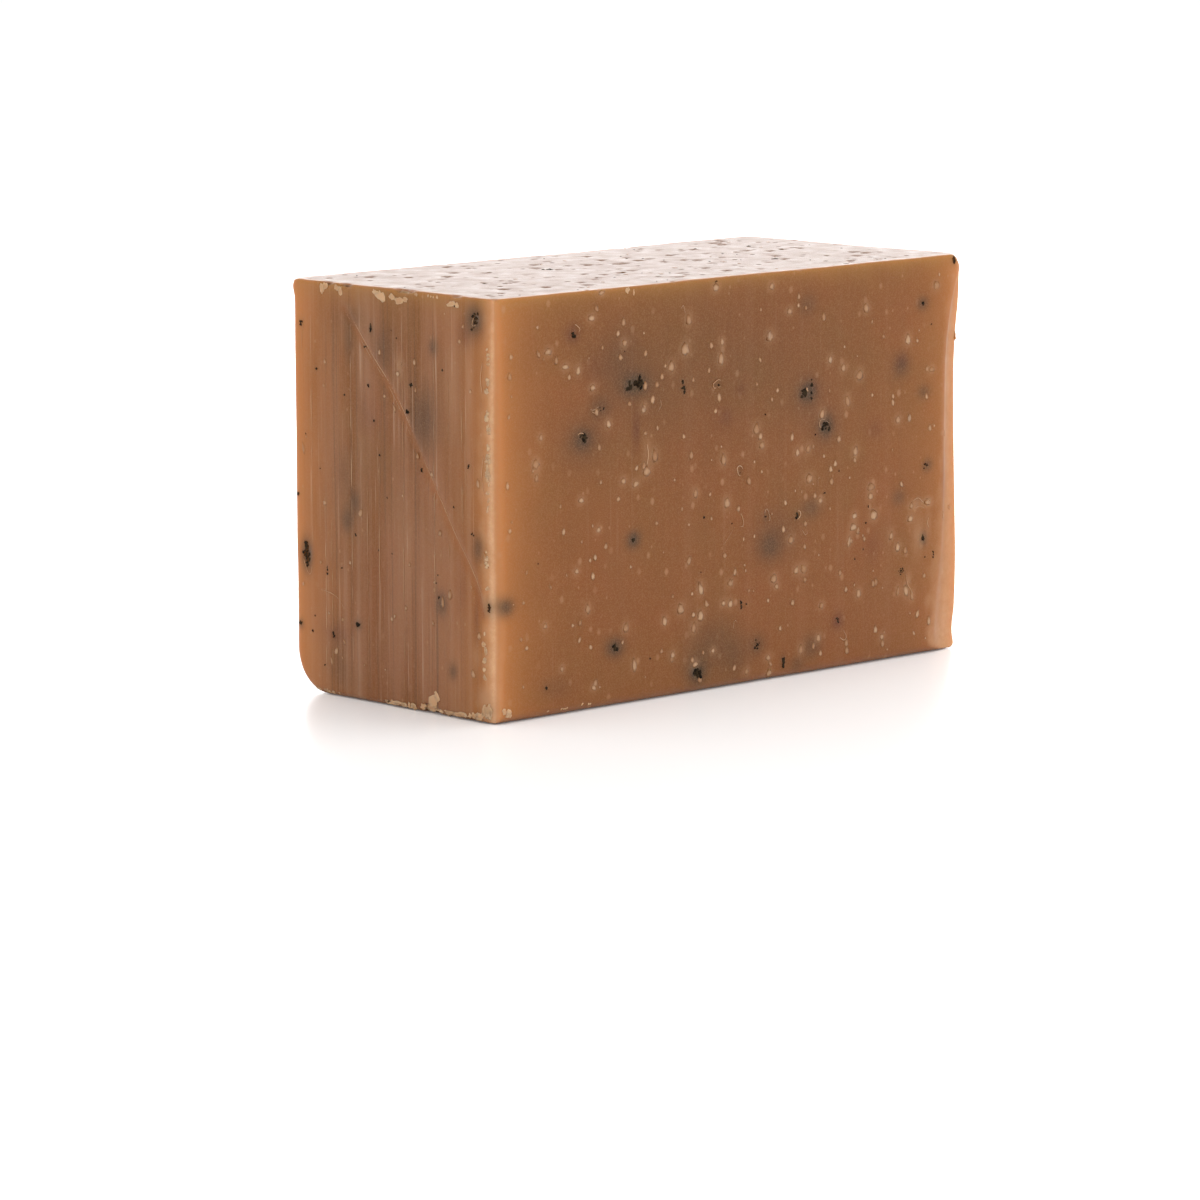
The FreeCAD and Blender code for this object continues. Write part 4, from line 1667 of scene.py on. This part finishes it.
def wire_lines() -> bpy.types.NodeTree:
    """Makes the upright lines that the cutting wire left: pale and dark lines, bands and a height.

    The noises are read with little of Z in them, so they run in lines up the bar.
    """
    tree, nodes, source, target = new_group(
        "wire_lines",
        (("Place", VECTOR),),
        (("Pale", VALUE), ("Dark", VALUE), ("Bands", VALUE), ("Height", VALUE)),
    )
    drawn = nodes.stretch(source["Place"], 0.012)
    fine = nodes.noise(drawn, 0.42, 3.0, 0.65)
    broad = nodes.noise(drawn, 2.6, 2.0, 0.5)
    slow = nodes.stretch(source["Place"], 0.12)
    breaks = nodes.spread(nodes.noise(slow, 1.6, 2.0, 0.6), 0.4, 0.62)
    pale = nodes.math("MULTIPLY", nodes.spread(fine, 0.55, 0.74), breaks)
    streaks = nodes.math("MULTIPLY", nodes.spread(broad, 0.5, 0.7), 0.4)
    both = nodes.math("ADD", fine, nodes.math("MULTIPLY", broad, 0.5))
    nodes.feed(target["Pale"], nodes.math("ADD", pale, streaks, True))
    nodes.feed(target["Dark"], nodes.spread(both, 0.72, 0.5))
    nodes.feed(target["Bands"], nodes.spread(nodes.noise(slow, 4.5, 2.0, 0.5), 0.35, 0.65))
    nodes.feed(target["Height"], nodes.math("ADD", fine, nodes.math("MULTIPLY", broad, 1.5)))
    return tree


def sunken_drops() -> bpy.types.NodeTree:
    """Makes the soft pale drops that lie just under the surface, one in each cell of space."""
    tree, nodes, source, target = new_group(
        "sunken_drops", (("Place", VECTOR), ("Density", VALUE), ("Radius", VALUE)), (("Drops", VALUE),)
    )
    drawn = nodes.stretch(source["Place"], 0.75)
    cells = nodes.add("ShaderNodeTexVoronoi", {"Vector": drawn, "Scale": source["Density"]})
    near = nodes.math("DIVIDE", cells.outputs["Distance"], source["Radius"])
    drop = nodes.math("SUBTRACT", 1.0, near, True)
    chance = nodes.spread(cells.outputs["Color"], 0.1, 0.9)
    nodes.feed(target["Drops"], nodes.math("MULTIPLY", nodes.spread(drop, 0.0, 0.7), chance))
    return tree


# Grey of the clouds in the soap, also used as the painted shade in the top's burst bubbles
CLOUD_AND_SHADE_GREY = (0.026, 0.020, 0.010)
LIT_SOAP = (0.465, 0.165, 0.038)
PALE_SOAP = (0.40, 0.21, 0.105)


@dataclass(frozen=True)
class SoapFinish:
    """Translucent honey-brown soap, waxy, with soft clouds, grain and the wire's lines."""

    body: Colour = (0.186, 0.059, 0.0085)
    ruddy: Colour = (0.197, 0.058, 0.0085)
    olive: Colour = (0.176, 0.063, 0.009)
    bands: Tint = Tint((0.34, 0.16, 0.088), 0.38)
    dark_lines: Tint = Tint(CLOUD_AND_SHADE_GREY, 0.4)
    pale_lines: Tint = Tint((0.42, 0.26, 0.17), 0.7)
    lit: Tint = Tint(LIT_SOAP)
    # Painted glow under the top edge of the upright faces
    rim: Tint = Tint((0.335, 0.16, 0.034), 0.85)
    drops: Tint = Tint(PALE_SOAP, 0.75)
    small_drops: Tint = Tint(PALE_SOAP, 0.4)
    scored: Tint = Tint((0.29, 0.10, 0.028), 0.85)
    brown: Tint = Tint((0.10, 0.018, 0.004))
    grey: Tint = Tint(CLOUD_AND_SHADE_GREY, 0.85)
    # The cuts' own pale tone, which also carries the painted highlight along their ridges
    pared: Tint = Tint((0.64, 0.38, 0.21))
    veil: Tint = Tint(CLOUD_AND_SHADE_GREY, 0.5)
    # Painted glow along the sharp edges
    edge_glow: Tint = Tint((0.52, 0.25, 0.11), 0.85)
    smears: Tint = Tint(PALE_SOAP)
    grains: Tint = Tint(PALE_SOAP, 0.2)
    top: Tint = Tint((0.155, 0.077, 0.038), 0.75)
    # Painted shade in the top's burst bubbles
    burst: Tint = Tint(CLOUD_AND_SHADE_GREY, 0.6)
    gloss: float = 0.25
    roughness: float = 0.28
    roughness_swing: float = 0.25
    burst_roughness: float = 0.5
    # Lump sizes of the slow patches, the finer ones, the mottling on the cuts and the gloss
    patches: float = 16.0
    small_patches: float = 5.0
    mottles: float = 1.1
    gloss_patches: float = 2.5
    # Sunken drops, larger and smaller: how many cells a metre, and their size in a cell
    drop_cells: tuple[float, float] = (380.0, 0.2)
    small_drop_cells: tuple[float, float] = (650.0, 0.17)
    # The share of the wire's lines off the ends, and how far they hide the larger drops there
    lines_all_over: float = 0.12
    sawn_cover: float = 0.8
    # Bump heights: grain on the sides, more of it on the top, the wire's lines, burst bubbles
    side_grain: float = 0.3
    top_grain: float = 0.6
    line_height: float = 0.6
    burst_depth: float = 4.0
    scatter: float = 0.35
    scatter_colour: Colour = (1.0, 0.45, 0.2)
    scatter_depth: float = 3.0

    def ground(self, nodes: Nodes, place: object, wire: object, lines: object) -> NodeSocket:
        """Colours the plain soap: slow patches, the wire's bands and lines, and the glow.

        Args:
            nodes: the material's nodes.
            place: the place on the piece.
            wire: the outputs of the wire's lines.
            lines: how much of them shows.

        Returns:
            The colour.
        """
        slow = nodes.spread(nodes.noise(place, self.patches), 0.35, 0.65)
        fine = nodes.spread(nodes.noise(place, self.small_patches, 3.0), 0.2, 0.8)
        colour = nodes.mix(fine, nodes.mix(slow, self.olive, self.ruddy), self.body)
        bands = nodes.math("MULTIPLY", wire["Bands"], nodes.layer("sawn"))
        colour = nodes.tint(colour, bands, self.bands)
        colour = nodes.tint(colour, nodes.math("MULTIPLY", wire["Dark"], lines), self.dark_lines)
        colour = nodes.tint(colour, nodes.math("MULTIPLY", wire["Pale"], lines), self.pale_lines)
        colour = nodes.tint(colour, nodes.layer("glow"), self.lit)
        # Painted glow under the top edge of the upright faces
        return nodes.tint(colour, nodes.layer("rim"), self.rim)

    def marked(self, nodes: Nodes, colour: object, mottles: object, drops: tuple) -> NodeSocket:
        """Adds what shows through the soap, the scratch, the pared edges with their painted ridge
        highlight, the painted glow along the sharp edges and the smears.

        Args:
            nodes: the material's nodes.
            colour: the plain soap's colour.
            mottles: the noise that breaks up the pared edges.
            drops: the larger sunken drops and the smaller ones.

        Returns:
            The colour.
        """
        covered = nodes.math("MULTIPLY", nodes.layer("sawn"), self.sawn_cover)
        shown = nodes.math("SUBTRACT", nodes.math("SUBTRACT", 1.0, covered), nodes.layer("flat_top"), True)
        broken = nodes.math("ADD", nodes.math("MULTIPLY", mottles, 1.1), 0.25)
        for mask, paint in (
            (nodes.math("MULTIPLY", drops[0], shown), self.drops),
            (drops[1], self.small_drops),
            (nodes.layer("groove"), self.scored),
            (nodes.layer("brown"), self.brown),
            (nodes.layer("grey"), self.grey),
            # The cuts' own paleness and the painted highlight along their ridges
            (nodes.math("MULTIPLY", nodes.layer("pared"), broken), self.pared),
            (nodes.layer("grey"), self.veil),
            # Painted glow along the sharp edges
            (nodes.layer("edge_glow"), self.edge_glow),
            (nodes.layer("pale"), self.smears),
        ):
            colour = nodes.tint(colour, mask, paint)
        return colour

    def build(self, groups: dict[str, bpy.types.NodeTree]) -> bpy.types.Material:
        """Makes the material.

        Args:
            groups: the shared node groups by name.

        Returns:
            The material.
        """
        material, nodes = new_material("soap")
        place = nodes.add("ShaderNodeTexCoord").outputs["Object"]
        grain = nodes.group(groups["wax_grain"], Place=place)
        wire = nodes.group(groups["wire_lines"], Place=place)
        drops = []
        for density, radius in (self.drop_cells, self.small_drop_cells):
            sunken = nodes.group(groups["sunken_drops"], Place=place, Density=density, Radius=radius)
            drops.append(sunken["Drops"])
        on_sawn = nodes.math("MULTIPLY", nodes.layer("sawn"), 1 - self.lines_all_over)
        lines = nodes.math("ADD", on_sawn, self.lines_all_over)
        mottles = nodes.noise(place, self.mottles, 3.0, 0.7)
        colour = self.marked(nodes, self.ground(nodes, place, wire, lines), mottles, drops)
        colour = nodes.tint(colour, grain["Grains"], self.grains)

        flat_top = nodes.layer("flat_top")
        # The top's own tone, kept off the painted glow along its borders
        off_edge = nodes.math("SUBTRACT", 1.0, nodes.math("MULTIPLY", nodes.layer("edge_glow"), 2.0), True)
        colour = nodes.tint(colour, nodes.math("MULTIPLY", flat_top, off_edge), self.top)
        # Burst bubbles on the top: dents in the bump, rougher gloss, and painted shade in their colour
        burst = nodes.math("MULTIPLY", drops[0], flat_top)
        colour = nodes.tint(colour, burst, self.burst)

        bumpy = nodes.math("ADD", nodes.math("MULTIPLY", flat_top, self.top_grain), self.side_grain)
        height = nodes.math("MULTIPLY", grain["Height"], bumpy)
        line_height = nodes.math("MULTIPLY", nodes.math("MULTIPLY", wire["Height"], lines), self.line_height)
        height = nodes.math("ADD", height, line_height)
        height = nodes.math("SUBTRACT", height, nodes.math("MULTIPLY", burst, self.burst_depth))
        swing = nodes.math("MULTIPLY", nodes.noise(place, self.gloss_patches, 3.0), self.roughness_swing)
        rough = nodes.math("ADD", swing, self.roughness)
        rough = nodes.math("ADD", rough, nodes.math("MULTIPLY", burst, self.burst_roughness), True)

        nodes.dress(
            {
                "Base Color": colour,
                "Roughness": rough,
                "Normal": nodes.bump(height),
                "Specular IOR Level": self.gloss,
                "Subsurface Weight": self.scatter,
                "Subsurface Radius": self.scatter_colour,
                "Subsurface Scale": self.scatter_depth * MM,
            }
        )
        return material


@dataclass(frozen=True)
class BitFinish:
    """A finish for small bits, whose colour runs between two with each bit's own shade.

    Towards a bit's rim the colour goes over to edge, from the height bloom down to the height
    fade. Where light comes through the soap the edge takes it up by lit_edge, the rest by lit_middle.
    """

    name: str
    edge: Colour
    dark: Colour
    light: Colour
    fade: float
    bloom: float
    lit_edge: float
    lit_middle: float
    roughness: float
    scatter: float
    gloss: float
    scatter_colour: Colour = (1.0, 0.6, 0.35)
    scatter_depth: float = 0.8
    grain_share: float = 0.25

    def build(self, groups: dict[str, bpy.types.NodeTree]) -> bpy.types.Material:
        """Makes the material.

        Args:
            groups: the shared node groups by name.

        Returns:
            The material.
        """
        material, nodes = new_material(self.name)
        place = nodes.add("ShaderNodeTexCoord").outputs["Object"]
        grain = nodes.group(groups["wax_grain"], Place=place)
        glow = nodes.layer("glow")
        edge = nodes.tint(self.edge, glow, Tint(LIT_SOAP, self.lit_edge))
        colour = nodes.mix(nodes.layer("shade"), self.dark, self.light)
        colour = nodes.tint(colour, grain["Grains"], Tint(self.light, self.grain_share))
        colour = nodes.tint(colour, glow, Tint(LIT_SOAP, self.lit_middle))
        colour = nodes.mix(nodes.spread(nodes.layer("middle"), self.fade, self.bloom), edge, colour)
        nodes.dress(
            {
                "Base Color": colour,
                "Roughness": self.roughness,
                "Normal": nodes.bump(grain["Height"]),
                "Specular IOR Level": self.gloss,
                "Subsurface Weight": self.scatter,
                "Subsurface Radius": self.scatter_colour,
                "Subsurface Scale": self.scatter_depth * MM,
            }
        )
        return material


HERB = BitFinish(
    "herb", edge=(0.024, 0.012, 0.005), dark=(0.004, 0.003, 0.002), light=(0.042, 0.027, 0.014), fade=0.0,
    bloom=0.8, lit_edge=0.4, lit_middle=0.0, roughness=0.8, scatter=0.0, gloss=0.04,
)
CREAM_WAX = BitFinish(
    "cream_wax", edge=(0.19, 0.065, 0.014), dark=(0.30, 0.14, 0.06), light=(0.46, 0.27, 0.155), fade=0.15,
    bloom=1.0, lit_edge=1.0, lit_middle=0.35, roughness=0.5, scatter=0.3, gloss=0.25,
)
CRUMB_WAX = BitFinish(
    "crumb_wax", edge=(0.55, 0.33, 0.18), dark=(0.40, 0.21, 0.10), light=(0.60, 0.36, 0.20), fade=0.0,
    bloom=0.9, lit_edge=0.0, lit_middle=0.0, roughness=0.6, scatter=0.3, gloss=0.2,
)
BURR_WAX = BitFinish(
    "burr_wax", edge=(0.19, 0.065, 0.014), dark=(0.34, 0.17, 0.08), light=(0.60, 0.37, 0.22), fade=0.0,
    bloom=1.2, lit_edge=1.0, lit_middle=0.2, roughness=0.5, scatter=0.2, gloss=0.25,
)


@dataclass(frozen=True)
class FloorFinish:
    """A pale floor with a faint soft gloss."""

    colour: Colour = (0.93, 0.93, 0.93)
    roughness: float = 0.3
    gloss: float = 0.3
    light: float = 0.06

    def build(self) -> bpy.types.Material:
        """Makes the material, which gives off a little light so that it stays white afar."""
        material, nodes = new_material("pale_floor")
        nodes.dress(
            {
                "Base Color": (*self.colour, 1.0),
                "Roughness": self.roughness,
                "Specular IOR Level": self.gloss,
                "Emission Color": WHITE,
                "Emission Strength": self.light,
            }
        )
        return material


# The room


def towards(azimuth: float, elevation: float) -> Array:
    """Gives the direction from the bar at these angles in degrees; azimuth 0 is the front."""
    a, e = math.radians(azimuth), math.radians(elevation)
    return np.array([math.sin(a) * math.cos(e), -math.cos(a) * math.cos(e), math.sin(e)])


@dataclass(frozen=True)
class Viewpoint:
    """The camera, placed so that the bar falls where the photograph has it.

    The bar's middle is seen at centre_px in a frame of frame_px pixels a side.
    """

    azimuth: float = -43.54
    elevation: float = 8.97
    roll: float = -0.15
    depth: float = 766.3
    focal_px: float = 5619.0
    frame_px: float = 1200.0
    sensor: float = 36.0
    centre_px: tuple[float, float] = (630.1, 468.2)
    centre: tuple[float, float, float] = (-0.75, 0.0, 27.75)

    def axes(self) -> Array:
        """Gives the camera's right, up and backward directions as rows."""
        a, r = math.radians(self.azimuth), math.radians(self.roll)
        back = towards(self.azimuth, self.elevation)
        right = np.array([math.cos(a), math.sin(a), 0])
        up = np.cross(back, right)
        cos, sin = math.cos(r), math.sin(r)
        return np.array([cos * right + sin * up, cos * up - sin * right, back])

    def build(self) -> bpy.types.Object:
        """Makes the camera and gives it to the scene.

        Returns:
            The camera object.
        """
        axes = self.axes()
        half = self.frame_px / 2
        across = (self.centre_px[0] - half) * self.depth / self.focal_px
        above = (half - self.centre_px[1]) * self.depth / self.focal_px
        eye = np.array(self.centre) - axes.T @ np.array([across, above, -self.depth])
        data = bpy.data.cameras.new("viewpoint")
        data.sensor_width = self.sensor
        data.lens = self.sensor * self.focal_px / self.frame_px
        data.clip_start = 0.01
        data.clip_end = 50.0
        camera = bpy.data.objects.new("viewpoint", data)
        turn = Matrix(axes.T.tolist()).to_4x4()
        camera.matrix_world = Matrix.Translation(Vector((eye * MM).tolist())) @ turn
        bpy.context.scene.collection.objects.link(camera)
        bpy.context.scene.camera = camera
        return camera


@dataclass(frozen=True)
class Panel:
    """A soft rectangular light that faces a point above the floor's middle. Its sizes are metres."""

    name: str
    azimuth: float
    elevation: float
    distance: float
    width: float
    height: float
    watts: float
    colour: Colour = (1.0, 1.0, 1.0)
    aim: tuple[float, float, float] = (0.0, 0.0, 0.028)

    def build(self) -> None:
        """Makes the light; azimuth 0 stands in front of the long face, as a camera would."""
        back = Vector(towards(self.azimuth, self.elevation).tolist())
        data = bpy.data.lights.new(self.name, "AREA")
        data.shape = "RECTANGLE"
        data.size = self.width
        data.size_y = self.height
        data.energy = self.watts
        data.color = self.colour
        lamp = bpy.data.objects.new(self.name, data)
        lamp.location = Vector(self.aim) + back * self.distance
        lamp.rotation_mode = "QUATERNION"
        lamp.rotation_quaternion = back.to_track_quat("Z", "Y")
        bpy.context.scene.collection.objects.link(lamp)


@dataclass(frozen=True)
class Studio:
    """A white room: an even bright surround, a pale floor and soft panels."""

    surround: float = 1.0
    floor_side: float = 6.0
    finish: FloorFinish = FloorFinish()
    panels: tuple[Panel, ...] = (
        Panel("back_panel", 137.0, 14.0, 0.9, 1.2, 0.5, 5.0),
        Panel("top_panel", 60.0, 65.0, 0.8, 0.6, 0.6, 2.0),
        Panel("front_panel", -10.0, 35.0, 1.0, 0.5, 0.5, 2.0),
    )

    def build(self) -> None:
        """Makes the surround, the floor and the lights."""
        world = bpy.data.worlds.new("white_room")
        world.use_nodes = True
        backdrop = world.node_tree.nodes["Background"]
        backdrop.inputs["Color"].default_value = WHITE
        backdrop.inputs["Strength"].default_value = self.surround
        scene = bpy.context.scene
        scene.world = world
        half = self.floor_side / 2 / MM
        corners = np.array([[-half, -half, 0], [half, -half, 0], [half, half, 0], [-half, half, 0]])
        floor = write_mesh("floor", corners, [np.array([[0, 1, 2, 3]])], {})
        floor.data.materials.append(self.finish.build())
        for panel in self.panels:
            panel.build()
        scene.view_settings.view_transform = "Standard"
        scene.view_settings.look = "None"


def hand_over(piece: bpy.types.Object, material: bpy.types.Material) -> None:
    """Dresses a piece, fixes it to the bar's body and reports it."""
    piece.data.materials.append(material)
    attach(piece, ROOT)
    log.info("%s: %d vertices, %d faces", piece.name, len(piece.data.vertices), len(piece.data.polygons))


def main() -> None:
    """Builds the camera, the room and the bar, and reports each piece."""
    Viewpoint().build()
    Studio().build()
    form = Form.from_frame()
    groups = {tree.name: tree for tree in (wax_grain(), wire_lines(), sunken_drops())}
    block = SoapBlock().build(form)
    hand_over(block, SoapFinish().build(groups))
    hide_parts(BLOCK)
    hand_over(HerbFlecks().build(form), HERB.build(groups))
    hand_over(PaleSpecks().build(form), CREAM_WAX.build(groups))
    hand_over(EdgeCrumbs().build(form), CRUMB_WAX.build(groups))
    hand_over(Burrs().build(form), BURR_WAX.build(groups))


if __name__ == "__main__":
    logging.basicConfig(level=logging.INFO, format="%(message)s")
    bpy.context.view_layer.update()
    main()
